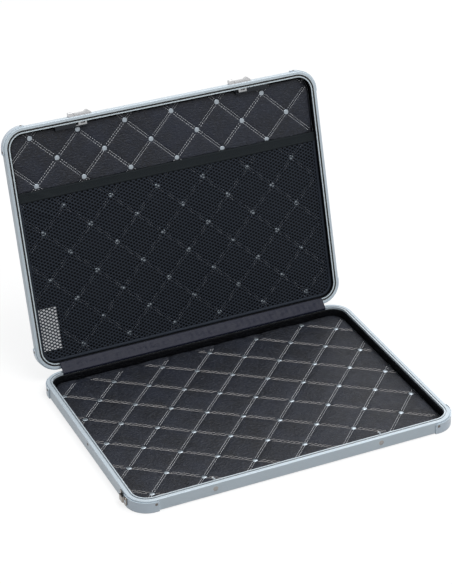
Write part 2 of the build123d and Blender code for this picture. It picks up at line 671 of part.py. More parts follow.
def latch_bolt(side):
    """Bolt inside the housing: claw, riser, post to the thumb slide and tail to the spring."""
    riser = (CLAW_D[1] - WEB_T, CLAW_D[1])
    full_z = (CLAW_Z[0], POST_Z[1])
    parts = [
        block(CLAW_X, CLAW_D, CLAW_Z),
        block(CLAW_X, riser, full_z),
        block(CLAW_X, CLAW_D, POST_Z),
        block((-POST_W / 2, POST_W / 2), (-PLATE_T - THUMB_CLEAR - POST_SEAT, CLAW_D[0]), POST_Z),
    ]
    if side < 0:
        pad = -HOUSING_FAR + HOUSING_END + SPRING_L
        tail = (pad, CLAW_X[0])
    else:
        pad = SPRING_POST_X + SPRING_STOP_T + SPRING_L
        tail = (CLAW_X[1], pad)
    parts.append(block(tail, TAIL_D, full_z))
    parts.append(block((pad, pad + SPRING_STOP_T), (SPRING_D[0] - SPRING_GAP, TAIL_D[1]), full_z))
    window = block(CLAW_WINDOW, (CLAW_D[0] - 1, CLAW_D[0] + CLAW_REACH), (CLAW_Z[0] - 1, CLAW_Z[1] + 1))
    return Part() + parts - window


def latch_housing(side):
    """Moulded cover behind the frame's lip, open to the front, with a window for the strike."""
    ends = sorted((-side * HOUSING_NEAR, side * HOUSING_FAR))
    depth = (HOUSING_FRONT, HOUSING_BACK)
    roof = (LID_PAD_Z - HOUSING_T, LID_PAD_Z)
    shell = block(ends, depth, (HOUSING_LOW, LID_PAD_Z))
    shell = fillet(shell.edges().filter_by(Axis.X).group_by(Axis.Y)[-1].sort_by(Axis.Z)[0], HOUSING_T)
    room_x = (ends[0] + HOUSING_END, ends[1] - HOUSING_END)
    room_d = (HOUSING_FRONT - 1, HOUSING_BACK - HOUSING_END)
    shell -= block(room_x, room_d, (HOUSING_LOW + HOUSING_FLOOR_T, roof[0]))
    room = HOUSING_NEAR - HOUSING_END
    window_d = (HOUSING_FRONT - 1, HOUSING_FRONT + WINDOW_D)
    shell -= block((-room, room), window_d, (HOUSING_LOW - 1, POST_Z[0]))
    boss_z = (SEAL_UNDER + BOSS_GAP, LID_PAD_Z)
    parts = [shell, block((-BOSS_X[1], BOSS_X[1]), (WALL_T, HOUSING_FRONT), roof)]
    for turn in (-1, 1):
        ends = sorted((turn * BOSS_X[0], turn * BOSS_X[1]))
        parts.append(block(ends, (WALL_T, WALL_T + BOSS_D), boss_z))
    if side > 0:
        post = (SPRING_POST_X, SPRING_POST_X + SPRING_STOP_T)
        parts.append(block(post, (HOUSING_FRONT, TAIL_D[0] - SPRING_GAP), (HOUSING_LOW, roof[0])))
    return Part() + parts


def latch_spring(start):
    """Folded leaf spring between the fixed stop and the bolt's tail."""
    count = 2 * SPRING_FOLDS
    step = (SPRING_L - SPRING_T) / count
    near, far = SPRING_D
    points = [(start + SPRING_T / 2, near)]
    for k in range(1, count):
        points.append((start + SPRING_T / 2 + (k - 0.5) * step, far if k % 2 else near))
    points.append((start + SPRING_L - SPRING_T / 2, far if count % 2 else near))
    strip = offset(Polyline(*points), SPRING_T / 2, side=Side.BOTH)
    return Pos(0, 0, SPRING_Z[0]) * extrude(make_face(strip.edges()), SPRING_Z[1] - SPRING_Z[0])


def latch_screws():
    """Two flush screws, through the plate and the frame's wall into the housing's bosses."""
    screws = []
    for x, face in zip(SCREW_X, (-BLOCK_PROUD, -PLATE_T)):
        cone = SCREW_HEAD_R - SCREW_R
        end = face - SCREW_D
        points = [(0, 0), (SCREW_HEAD_R, 0), (SCREW_R, -cone), (SCREW_R, end), (0, end)]
        body = revolve(Plane.XZ * make_face(Polyline(*points, close=True)), Axis.Z)
        screws.append(Plane((x, face, SCREW_Z), x_dir=(1, 0, 0), z_dir=(0, -1, 0)) * body)
    return Part() + screws


def strike():
    """Strike hook: foot plate, spacer boss to the wall and a neck with a cam-topped barb."""
    width, low, high = STRIKE_FOOT
    left, right = STRIKE_NECK
    tip = BASE_H + STRIKE_TIP
    catch = BASE_H + STRIKE_CATCH
    near, far = STRIKE_FOOT_X - width / 2, STRIKE_FOOT_X + width / 2
    points = [
        (near, low),
        (far, low),
        (far, high),
        (right, high + STRIKE_SHOULDER),
        (right, tip - STRIKE_SLOPE),
        (STRIKE_PEAK_X, tip),
        (left - STRIKE_BARB, catch + STRIKE_EDGE),
        (left - STRIKE_BARB, catch),
        (left, catch),
        (left, high + STRIKE_SHOULDER),
        (near, high),
    ]
    front = Plane((0, STRIKE_D, 0), x_dir=(1, 0, 0), z_dir=(0, -1, 0))
    sheet = front * extrude(section(points, [(0, STRIKE_ROUND), (1, STRIKE_ROUND)]), -STRIKE_T)
    boss = Plane((STRIKE_FOOT_X, WALL_T, STRIKE_RIVET_Z), x_dir=(1, 0, 0), z_dir=(0, -1, 0))
    return sheet + boss * extrude(Circle(STRIKE_BOSS_R), -(STRIKE_D - WALL_T))


def make_latches():
    heads = []
    for side, name in ((-1, "left"), (1, "right")):
        x = side * LATCH_X
        seat = Pos(x, -CASE_D / 2, LID_Z)
        screws = latch_screws()
        slot = post_slot((-PLATE_T - 1, WALL_T + 1))
        pieces["latch_plate_" + name] = seat * (latch_plate() - slot - screws)
        pieces["latch_housing_" + name] = seat * (latch_housing(side) - screws)
        pieces["latch_screws_" + name] = seat * screws
        pieces["lid_frame"] -= [seat * slot, seat * screws]
        pieces["latch_thumb_" + name] = seat * latch_thumb()
        pieces["latch_bolt_" + name] = seat * latch_bolt(side)
        start = -HOUSING_FAR + HOUSING_END if side < 0 else SPRING_POST_X + SPRING_STOP_T
        pieces["latch_spring_" + name] = seat * latch_spring(start)
        grip = STRIKE_D + STRIKE_T
        rivet_plane = wall("front", x + STRIKE_FOOT_X, STRIKE_RIVET_Z)
        head = rivet(STRIKE_HEAD_R, STRIKE_HEAD_H, STRIKE_RIVET_R, grip, STRIKE_TAIL_R, RIVET_TAIL_H)
        heads.append(rivet_plane * head)
        pieces["strike_" + name] = Pos(x, -CASE_D / 2, 0) * strike() - heads[-1]
    pieces["strike_rivets"] = Part() + heads
    pieces["base_frame"] -= pieces["strike_rivets"]


LID_PIECES = ("lid_", "latch_", "pocket_", "label_", "hinge_leaf_lid", "hinge_rivets_lid")


def main():
    os.makedirs("parts", exist_ok=True)
    make_shells()
    make_caps_and_rivets()
    make_strap_loops()
    make_hinge()
    make_pocket()
    make_latches()
    for name in pieces:
        if name.startswith(LID_PIECES):
            pieces[name] = opened(pieces[name])
    pieces["hinge_strip"] = hinge_strip()
    for name, piece in pieces.items():
        export_step(piece, f"parts/{name}.step")
    print(len(pieces), "pieces")


main()
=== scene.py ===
import math

import bpy
import numpy as np
from mathutils import Matrix, Vector


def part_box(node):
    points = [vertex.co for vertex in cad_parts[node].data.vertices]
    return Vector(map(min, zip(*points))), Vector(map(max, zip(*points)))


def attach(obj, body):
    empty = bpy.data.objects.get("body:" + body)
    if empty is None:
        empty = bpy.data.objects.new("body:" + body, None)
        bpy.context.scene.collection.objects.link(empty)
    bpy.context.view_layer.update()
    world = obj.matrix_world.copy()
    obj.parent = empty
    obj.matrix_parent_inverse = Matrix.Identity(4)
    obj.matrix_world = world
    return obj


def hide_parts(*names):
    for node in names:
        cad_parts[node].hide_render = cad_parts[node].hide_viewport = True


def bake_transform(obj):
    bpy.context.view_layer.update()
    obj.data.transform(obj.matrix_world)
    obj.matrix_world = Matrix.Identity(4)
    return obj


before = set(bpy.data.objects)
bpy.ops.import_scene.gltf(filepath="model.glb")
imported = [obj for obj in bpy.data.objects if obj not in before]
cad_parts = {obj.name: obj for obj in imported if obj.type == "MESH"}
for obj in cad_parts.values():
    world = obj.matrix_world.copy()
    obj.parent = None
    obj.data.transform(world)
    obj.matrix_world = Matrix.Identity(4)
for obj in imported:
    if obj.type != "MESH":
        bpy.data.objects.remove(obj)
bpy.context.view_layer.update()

MM = 0.001

# ---- the case, in millimetres, as the CAD has it ----
CASE_W, CASE_D, CORNER_R = 400.0, 294.0, 25.0
BASE_H, LID_H, PARTING, SHEET_T = 14.7, 9.7, 0.5, 1.2
OPEN_ANGLE = math.radians(105.1)
HINGE_Y, HINGE_Z = 148.6, 14.95
LID_Z = BASE_H + PARTING
LIP_IN, LINING_IN = 6.9, 8.0
FLOOR_Z = -0.8  # the caps' turned lips stand on the floor

PAD_INSET = 8.1
BASE_PAD = (1.2, 4.2)  # underside and crown
LID_PAD = (8.5, 5.9)  # from the lid's rim: back and crown
BASE_QUILT = dict(at=(16.9, 9.3), diagonals=(64.6, 57.2), turn=4.2)
LID_QUILT = dict(at=(10.8, -15.2), diagonals=(59.2, 57.2), turn=0.5)
STUD_R, STUD_H = 3.4, 0.95
DIP, DIP_SPREAD = 0.35, 26.0  # the dip round a stud, and the square of its width
CREASE, CREASE_WIDTH = 0.55, 1.9  # the channel along each stitched seam
PUFF, PUFF_WIDTH = 0.5, 7.5  # the cloth's rise between seams, and its reach from them
PUFF_LIMITS = (-0.4, 0.15)  # how far the simulated rise may differ
PAD_ROUND = 2.4  # rounded rim of a pad
SIM_STEPS, SIM_SCALE = 20, 0.01  # the cloth is simulated at ten times its size, to be steady

BASE_ENDS, LID_ENDS = (4.0, 8.5), (2.0, 4.0)  # rows stop this far from the right and the back
SEAM_REACH, SEAMS = 262.0, range(-12, 13)  # half a seam's length, and the seams each way
FINE, COARSE = (2.1, 1.35), (3.3, 2.35)  # pitch and length of straight stitches
ROPE_PITCH, ROPE_POINTS = 5.4, 5
BASE_DASH, BASE_ROPE, LID_DASH = (1.25, 0.66), (1.4, 0.5), (1.35, 0.7)  # row from seam, thickness

NET_LEVEL = 5.0  # from the lid's rim
NET_FRONT, NET_SPAN, NET_STEP = -59.0, 205, (3.43, 2.10)
NET_RISE = (0.16, -0.12)  # of the cells' corners and of the holes'
NET_HOLE = (0.76, 0.60)  # the holes' share of their cells, each way
FOLD_AT, FOLD_WAY = (-184, -52), (0.88, 0.47)  # the net's fold: where it starts and its direction
BAND_Y, BAND_T, TUCK_X = (-69.5, -57.5), 1.3, -168
LABEL_AT, LABEL_SIZE, LABEL_T = (-178.0, 98.0), (24.0, 52.0), 0.12
LABEL_LEVEL, LABEL_GAP, LABEL_CURL = 2.6, 0.45, 0.1  # it bridges the seams, and its corners lift

STRIP_W, STRIP_T, STRIP_GRIP = 348.0, 0.3, 2.1

WALL_WOBBLE = 0.05  # unevenness of the wall linings
BASE_WALL, LID_WALL = (2.1, BASE_H - 2.6), (0.4, LID_H - SHEET_T - 0.9)  # z of the wall linings

LATCH_X = 102.5
HOUSING_X = (-8.3, 33.4)  # the lining's break for a latch's housing, from its middle outwards
SPRING_D, SPRING_Z, SPRING_T, SPRING_FOLDS = (7.7, 9.7), (2.2, 3.6), 0.3, 6

rng = np.random.default_rng(7)


# ---------------------------------------------------------------- shapes
def open_lid(points):
    """Points of the shut lid, swung open with it."""
    p = np.asarray(points, float)
    turn = -OPEN_ANGLE
    out, up = p[..., 1] - HINGE_Y, p[..., 2] - HINGE_Z
    y = HINGE_Y + out * math.cos(turn) - up * math.sin(turn)
    z = HINGE_Z + out * math.sin(turn) + up * math.cos(turn)
    return np.stack([p[..., 0], y, z], -1)


def in_lid(points):
    """Points given from the lid's rim, swung open."""
    return open_lid(np.asarray(points, float) + (0, 0, LID_Z))


def new_object(name, data):
    """An object in the scene."""
    made = bpy.data.objects.new(name, data)
    bpy.context.scene.collection.objects.link(made)
    return made


def add_piece(name, points, faces, finish, slot, smooth=True):
    """A mesh object from points in millimetres and faces, with its material. slot is not used."""
    mesh = bpy.data.meshes.new(name)
    mesh.from_pydata((np.asarray(points) * MM).tolist(), [], [tuple(map(int, f)) for f in faces])
    mesh.validate()
    mesh.polygons.foreach_set("use_smooth", [smooth] * len(mesh.polygons))
    mesh.materials.append(finish)
    piece = new_object(name, mesh)
    return piece


def grid_faces(rows, columns, wrap=False, flip=False):
    """Quads of a grid of points, row by row; wrap joins the last column to the first."""
    steps = columns if wrap else columns - 1
    j, i = np.meshgrid(np.arange(rows - 1), np.arange(steps), indexing="ij")
    here, after = (j * columns + i).ravel(), (j * columns + (i + 1) % columns).ravel()
    quads = np.stack([here, after, after + columns, here + columns], 1)
    return quads[:, ::-1] if flip else quads


def grid_rim(rows, columns):
    """The numbers of a grid's outer points, in their order round it."""
    index = np.arange(rows * columns).reshape(rows, columns)
    return np.concatenate([index[0], index[1:, -1], index[-1, -2::-1], index[-2:0:-1, 0]])


def sheet_faces(rows, columns, flip=False):
    """Faces of two grids, one over the other, joined at their rims."""
    size = rows * columns
    layers = np.concatenate([grid_faces(rows, columns, flip=flip),
                             grid_faces(rows, columns, flip=not flip) + size])
    a = grid_rim(rows, columns)
    b = np.roll(a, -1)
    return np.concatenate([layers, np.stack([b, a, a + size, b + size], 1)])


def tube_faces(loops, around):
    """Faces of a tube, loop by loop, and of its two ends."""
    last = (loops - 1) * around
    ends = [tuple(range(around))[::-1], tuple(range(last, last + around))]
    return [tuple(q) for q in grid_faces(loops, around, wrap=True)] + ends


def stamped(faces, places):
    """Many copies of one small shape: places is an array of (copies, points, 3)."""
    count, size = places.shape[:2]
    offsets = (np.arange(count) * size)[:, None, None]
    return places.reshape(-1, 3), (np.asarray(faces)[None] + offsets).reshape(-1, len(faces[0]))


def outline_distance(x, y, inset):
    """How far a point lies inside the case's outline, inset from its outer faces."""
    qx, qy = np.abs(x) - (CASE_W / 2 - CORNER_R), np.abs(y) - (CASE_D / 2 - CORNER_R)
    past = np.hypot(np.maximum(qx, 0), np.maximum(qy, 0))
    return CORNER_R - inset - (past + np.minimum(np.maximum(qx, qy), 0))


def outline_path(inset, step=6.0, corner_steps=14):
    """Points round the case's outline at an inset, with their outward directions."""
    run_x, run_y, r = CASE_W / 2 - CORNER_R, CASE_D / 2 - CORNER_R, CORNER_R - inset
    points, normals = [], []
    corners = [(run_x, -run_y, -90), (run_x, run_y, 0), (-run_x, run_y, 90), (-run_x, -run_y, 180)]
    for k, (cx, cy, first) in enumerate(corners):
        for a in np.linspace(first, first + 90, corner_steps + 1):
            n = np.array([math.cos(math.radians(a)), math.sin(math.radians(a))])
            points.append((cx, cy) + r * n)
            normals.append(n)
        nx, ny, _ = corners[(k + 1) % 4]
        start, end = points[-1], np.array((nx, ny)) + r * normals[-1]
        for t in np.linspace(0, 1, int(np.linalg.norm(end - start) / step) + 1)[1:-1]:
            points.append(start + (end - start) * t)
            normals.append(normals[-1])
    return np.array(points), np.array(normals)


# ---------------------------------------------------------------- quilted pads
class Quilt:
    """Diamond quilting: two families of stitched lines, and a stud at each crossing."""

    def __init__(self, at, diagonals, turn):
        """A crossing's place, a diamond's two diagonals and the turn of the whole, in degrees."""
        self.at = np.array(at)
        self.a, self.b = diagonals[0] / 2, diagonals[1] / 2
        self.long = math.hypot(self.a, self.b)
        self.pitch = 2 * self.a * self.b / self.long
        c, s = math.cos(math.radians(turn)), math.sin(math.radians(turn))
        self.spin = np.array([[c, -s], [s, c]])

    def local(self, x, y):
        """A point from the quilt's own crossing, along the diagonals."""
        p = np.stack([x - self.at[0], y - self.at[1]], -1) @ self.spin
        return p[..., 0], p[..., 1]

    def across(self, x, y):
        """Distances to the nearest line of each family."""
        u, v = self.local(x, y)
        off = []
        for slant in (1, -1):
            s = (u * -slant * self.b + v * self.a) / self.long
            off.append(np.abs((s + self.pitch / 2) % self.pitch - self.pitch / 2))
        return off

    def line(self, slant, number, along):
        """Points of one line, in the pad's plane, its direction and its side direction."""
        d = np.array([self.a, slant * self.b]) / self.long
        n = np.array([-slant * self.b, self.a]) / self.long
        p = number * self.pitch * n + np.asarray(along)[:, None] * d
        return p @ self.spin.T + self.at, d @ self.spin.T, n @ self.spin.T

    def crossings(self):
        """Where lines cross."""
        reach = int(CASE_W / self.a) + 2
        steps = range(-reach, reach)
        places = [(i * self.a, j * self.b) for i in steps for j in steps if (i + j) % 2 == 0]
        return np.array(places) @ self.spin.T + self.at


def pad_height(quilt, x, y, thick):
    """Height of a quilted pad over its back."""
    first, second = quilt.across(x, y)
    near = np.minimum(first, second)
    seam = CREASE * np.exp(-((near / CREASE_WIDTH) ** 2))
    seam = seam + PUFF * np.exp(-((near / PUFF_WIDTH) ** 2))
    stud = DIP * np.exp(-(first**2 + second**2) / DIP_SPREAD)
    wave = 0.10 * np.sin(x * 0.11 + 0.7) * np.sin(y * 0.09 + 1.9)
    top = thick - seam - stud + wave - 0.05
    edge = np.clip(outline_distance(x, y, PAD_INSET) / PAD_ROUND, 0, 1)
    return top * np.sqrt(1 - (1 - edge) ** 2)


def pad_grid(step=1.25):
    """Grid of points over the pad's outline: rows keep to its width there."""
    r, run_y = CORNER_R - PAD_INSET, CASE_D / 2 - CORNER_R
    bend = run_y + r * np.sin(np.linspace(0, math.pi / 2, 16)[1:])
    middle = np.linspace(-run_y, run_y, int(2 * run_y / step) + 1)
    rows = np.concatenate([-bend[::-1], middle, bend])
    over = np.maximum(np.abs(rows) - run_y, 0)
    half = CASE_W / 2 - CORNER_R + np.sqrt(np.maximum(r * r - over * over, 0))
    columns = int((CASE_W - 2 * PAD_INSET) / step)
    u = np.linspace(-1, 1, columns)
    return u[None, :] * half[:, None], np.repeat(rows[:, None], columns, 1)


def blown_up(x, y, near):
    """How far a lining lifts, pressed out from behind and held by its seams.

    It's Blender's Cloth, on every second point of the grid each way."""
    xs, ys, seam = x[::2, ::2], y[::2, ::2], near[::2, ::2]
    rows, columns = xs.shape
    crown = 0.3 * (1 - np.exp(-((seam / 5.0) ** 2)))
    points = np.stack([xs, ys, crown], -1).reshape(-1, 3) * SIM_SCALE
    sheet = bpy.data.meshes.new("lining_sheet")
    sheet.from_pydata(points.tolist(), [], grid_faces(rows, columns).tolist())
    piece = new_object("lining_sheet", sheet)
    held = (seam < 1.4) | (outline_distance(xs, ys, PAD_INSET) < 2.0)
    seams = piece.vertex_groups.new(name="seams")
    seams.add(np.flatnonzero(held.ravel()).tolist(), 1.0, "REPLACE")
    air = piece.modifiers.new("air", "CLOTH")
    air.settings.vertex_group_mass = "seams"
    air.settings.use_pressure = True
    air.settings.uniform_pressure_force = 4.0
    air.settings.effector_weights.gravity = 0.0
    air.settings.quality = 4
    air.settings.bending_stiffness = 0.3
    air.settings.shrink_min = -0.012
    air.point_cache.frame_start, air.point_cache.frame_end = 1, SIM_STEPS
    for step in range(SIM_STEPS):
        bpy.context.scene.frame_set(step + 1)
    shaped = piece.evaluated_get(bpy.context.evaluated_depsgraph_get()).to_mesh()
    lift = np.array([v.co.z for v in shaped.vertices]).reshape(rows, columns) / SIM_SCALE
    piece.to_mesh_clear()
    bpy.data.objects.remove(piece)
    bpy.data.meshes.remove(sheet)
    bpy.context.scene.frame_set(1)
    for count in reversed(x.shape):  # back to the full grid, along its rows and then its columns
        at = np.arange(count) / 2
        lift = np.stack([np.interp(at, np.arange(len(line)), line) for line in lift], 1)
    return lift


def quilted_pad(name, quilt, back, sign, place, finish, shaded=None):
    """Padded lining: crowned diamonds on a flat back. sign is the way its face looks along z.

    shaded: the finish of its part behind the pocket's net, painted darker there as the net's
    shadow."""
    x, y = pad_grid()
    thick = abs(back[1] - back[0])
    near = np.minimum(*quilt.across(x, y))
    height = pad_height(quilt, x, y, thick)
    free = 1 - np.exp(-((near / 4.0) ** 2))
    plain = PUFF * (1 - np.exp(-((near / PUFF_WIDTH) ** 2)))
    more = np.clip(blown_up(x, y, near) - plain, *PUFF_LIMITS)
    height = height + more * free * np.clip(height / thick, 0, 1)
    points = np.stack([x, y, back[0] + sign * height], -1).reshape(-1, 3)
    faces = [tuple(f) for f in grid_faces(*x.shape, flip=sign < 0)]
    faces.append(tuple(grid_rim(*x.shape)[::-sign]))
    pad = add_piece(name, place(points), faces, finish, "lining")
    if shaded is not None:
        pad.data.materials.append(shaded)
        behind = points[[f[0] for f in faces], 1] > sum(BAND_Y) / 2
        behind[-1] = False
        pad.data.polygons.foreach_set("material_index", behind.astype(int).tolist())
    return pad


def thread_tubes(paths, thick, back, sign, quilt):
    """Square tubes of thread on a pad: paths is an array of (threads, points, 2)."""
    threads, count = paths.shape[:2]
    height = pad_height(quilt, paths[..., 0], paths[..., 1], abs(back[1] - back[0]))
    arch = np.sin(np.linspace(0.12, math.pi - 0.12, count))
    path = np.concatenate([paths, (height - 0.12 + 0.3 * arch)[..., None]], -1)
    way = np.gradient(paths, axis=1)
    way = way / np.linalg.norm(way, axis=2, keepdims=True)
    side = np.stack([-way[..., 1], way[..., 0], np.zeros((threads, count))], -1)
    up = np.array([0, 0, 0.8])
    radius = (0.65 + 0.35 * arch)[None, :, None] * thick / 2
    ring = [(1, 0), (0, 1), (-1, 0), (0, -1)]
    points = np.stack([path + radius * (s * side + t * up) for s, t in ring], 2)
    points = points.reshape(threads, -1, 3)
    points[..., 2] = back[0] + sign * points[..., 2]
    return stamped([f[::sign] for f in tube_faces(count, 4)], points)


def on_pad(quilt, spots, ends):
    """Which spots lie on the pad and clear of its studs. ends: see BASE_ENDS."""
    x, y = spots.T
    inside = outline_distance(x, y, PAD_INSET) > 1.0
    inside &= (x < CASE_W / 2 - PAD_INSET - ends[0]) & (y < CASE_D / 2 - PAD_INSET - ends[1])
    return inside & (np.maximum(*quilt.across(x, y)) > STUD_R + 0.5)


def dashes(quilt, slant, offset, ends):
    """Double row of straight stitches; every few diamonds the thread is set finer."""
    paths = []
    for number in SEAMS:
        for row in (-offset, offset):
            along = -SEAM_REACH
            while along < SEAM_REACH:
                fine = int((along + 400) // (2 * quilt.long * 1.5) + number) % 2
                pitch, dash = FINE if fine else COARSE
                centre, d, n = quilt.line(slant, number, [along])
                spot = centre[0] + n * row + rng.normal(0, 0.06, 2)
                paths.append((spot - d * dash / 2, spot, spot + d * dash / 2))
                along += pitch
    paths = np.array(paths)
    return paths[on_pad(quilt, paths[:, 1], ends)]


def ropes(quilt, slant, offset, ends):
    """Two rows of long stitches, each laid slantwise over the start of the next."""
    paths = []
    along = np.arange(-SEAM_REACH, SEAM_REACH, ROPE_PITCH)
    t = np.linspace(-0.5, 0.5, ROPE_POINTS)
    for number in SEAMS:
        for row in (-offset, offset):
            runs = along[:, None] + row * 0.9 + number * 1.7 + t[None] * ROPE_PITCH * 1.12
            centre, _d, n = quilt.line(slant, number, runs.ravel())
            uneven = np.repeat(rng.normal(0, 0.12, len(along)), ROPE_POINTS)
            swing = row + np.tile(t * 2.0, len(along)) + uneven
            paths.append((centre + n * swing[:, None]).reshape(-1, ROPE_POINTS, 2))
    paths = np.concatenate(paths)
    return paths[on_pad(quilt, paths[:, ROPE_POINTS // 2], ends)]


def studs(name, quilt, back, sign, place, finish):
    """Domed studs at the crossings."""
    profile = [(1.0, 0.0), (0.97, 0.32), (0.86, 0.62), (0.62, 0.86), (0.3, 0.97)]
    around = 18
    angles = np.linspace(0, 2 * math.pi, around, endpoint=False)
    shape = [(r * math.cos(a) * STUD_R, r * math.sin(a) * STUD_R, h * STUD_H)
             for r, h in profile for a in angles]
    shape = np.array(shape + [(0, 0, STUD_H)])
    top = len(shape) - 1
    last = top - around
    fan = [(last + k, last + (k + 1) % around, top) for k in range(around)]
    dome = [f[::sign] for f in grid_faces(len(profile), around, wrap=True).tolist() + fan]
    points, faces = [], []
    for x, y in quilt.crossings():
        if outline_distance(x, y, PAD_INSET) < STUD_R + 1.5:
            continue
        floor = pad_height(quilt, np.array(x), np.array(y), abs(back[1] - back[0])) - 0.15
        stud = shape + (x, y, floor)
        stud[:, 2] = back[0] + sign * stud[:, 2]
        start = len(points) * len(shape)
        points.append(stud)
        faces += [tuple(i + start for i in f) for f in dome]
    return add_piece(name, place(np.concatenate(points)), faces, finish, "bright_rivet")


def swept_ring(name, section, place, finish, openings=()):
    """Lining round the inside of the walls. The section's points are (inset, z).

    openings: the two ends, along x, of each break in it at the front."""
    base, normal = outline_path(0)
    loops = []
    for k, (inset, z) in enumerate(section):
        path = outline_path(inset)[0]
        turns = np.arange(len(path))
        ripple = WALL_WOBBLE * np.sin(turns * 1.7 + k) * np.sin(turns * 0.37)
        loops.append(np.column_stack([path - normal * ripple[:, None], np.full(len(path), z)]))
    points = np.stack(loops, 0)
    levels, count = points.shape[:2]
    index = np.arange(levels * count).reshape(levels, count)
    around = np.stack([index, np.roll(index, -1, 1)])
    after = np.roll(around, -1, 1)
    faces = np.stack([around[0], around[1], after[1], after[0]], -1)
    kept = np.full(count, True)
    caps = []
    elsewhere = 1e3 * (base[:, 1:] > -CASE_D / 2 + 1)  # so that a break's ends are at the front
    for ends in openings:
        first, last = (np.abs(base[:, :1] - ends) + elsewhere).argmin(0)
        points[:, first, 0], points[:, last, 0] = ends
        kept[first:last] = False
        caps += [tuple(index[::-1, first]), tuple(index[:, last])]
    faces = [tuple(f) for f in faces[:, kept].reshape(-1, 4)] + caps
    used, numbers = np.unique(np.concatenate([np.asarray(f) for f in faces]), return_inverse=True)
    corners = iter(numbers.tolist())
    faces = [tuple(next(corners) for _corner in f) for f in faces]
    return add_piece(name, place(points.reshape(-1, 3)[used]), faces, finish, "lining")


def folded_spring(name, ends, finish):
    """Folded leaf spring in the lid's front wall. ends: x at its stop and at the bolt's tail."""
    near, far = (-CASE_D / 2 + depth for depth in SPRING_D)
    folds = 2 * SPRING_FOLDS
    first, last = ends[0] + SPRING_T / 2, ends[1] - SPRING_T / 2
    middle = np.linspace(first, last, 2 * folds + 1)[1::2]
    x = np.concatenate([[first], middle[:-1], [last]])
    line = np.column_stack([x, np.where(np.arange(folds + 1) % 2, far, near)])
    way = np.diff(line, axis=0)
    way = np.concatenate([way[:1], way, way[-1:]])
    out = np.column_stack([-way[:, 1], way[:, 0]]) / np.linalg.norm(way, axis=1, keepdims=True)
    mitre = out[:-1] + out[1:]
    mitre *= SPRING_T / np.sum(mitre**2, axis=1, keepdims=True)
    rings = np.stack([line - mitre, line + mitre, line + mitre, line - mitre], 1)
    high = np.broadcast_to(np.array(SPRING_Z)[[0, 0, 1, 1]], rings.shape[:2])
    points = np.concatenate([rings, high[..., None]], -1).reshape(-1, 3)
    return add_piece(name, in_lid(points), tube_faces(folds + 1, 4), finish, "hook", smooth=False)


# ---------------------------------------------------------------- net
def net_piece(finish):
    """Knitted net: hexagonal holes on a centred lattice, inside a hem."""
    step_x, step_y = NET_STEP
    corner = (step_x**2 + step_y**2) / (2 * step_x)
    shoulder = step_x - corner
    half = [(corner, 0), (shoulder, step_y), (-shoulder, step_y)]
    hexagon = half + [(-x, -y) for x, y in half]
    points, index, faces = [], {}, []

    def point(x, y, z):
        key = (round(x, 2), round(y, 2), round(z, 2))
        if key not in index:
            index[key] = len(points)
            points.append((x, y, z))
        return index[key]

    columns, rows = int(CASE_W / 2 / step_x) + 1, int(CASE_D / 2 / step_y) + 1
    for i in range(-columns, columns + 1):
        for j in range(-rows, rows + 1):
            x, y = i * step_x, j * step_y
            inside = outline_distance(np.array(x), np.array(y), LINING_IN)
            if (i + j) % 2 or y < NET_FRONT or inside < 2.2:
                continue
            outer = [point(x + cx, y + cy, NET_RISE[0]) for cx, cy in hexagon]
            inner = [point(x + cx * NET_HOLE[0], y + cy * NET_HOLE[1], NET_RISE[1])
                     for cx, cy in hexagon]
            for k in range(6):
                after = (k + 1) % 6
                faces.append((inner[k], inner[after], outer[after], outer[k]))
    net = np.array(points)
    sag = np.sin((net[:, 1] - NET_FRONT) * math.pi / NET_SPAN)
    sag = 0.25 * np.sin(net[:, 0] * 0.031 + 0.6) * sag
    x, y = net[:, 0] - FOLD_AT[0], net[:, 1] - FOLD_AT[1]
    ahead, aside = x * FOLD_WAY[0] + y * FOLD_WAY[1], y * FOLD_WAY[0] - x * FOLD_WAY[1]
    crease = 1.1 * np.exp(-((aside / 2.6) ** 2))
    sag += crease * np.clip(ahead / 8, 0, 1) * np.clip((48 - ahead) / 16, 0, 1)
    net[:, 2] = NET_LEVEL - net[:, 2] - sag
    return add_piece("pocket_mesh", in_lid(net), faces, finish, "net")


def net_hem(finish):
    """Folded hem where the net is sewn in along the walls."""
    path, normal = outline_path(LINING_IN + 0.15)
    keep = path[:, 1] > BAND_Y[1] - 4
    start = int(np.argmax(keep & ~np.roll(keep, 1)))
    order = [(start + k) % len(path) for k in range(int(keep.sum()))]
    path, normal = path[order], normal[order]
    section = [(0.0, -0.35), (0.3, -0.5), (2.6, -0.45), (3.0, 0.0)]
    section += [(2.6, 0.4), (0.3, 0.45), (0.0, 0.3)]
    loops = [np.column_stack([path - normal * inset, np.full(len(path), NET_LEVEL + z)])
             for inset, z in section]
    points = np.stack(loops, 1).reshape(-1, 3)
    faces = tube_faces(len(path), len(section))
    return add_piece("pocket_hem", in_lid(points), faces, finish, "net")


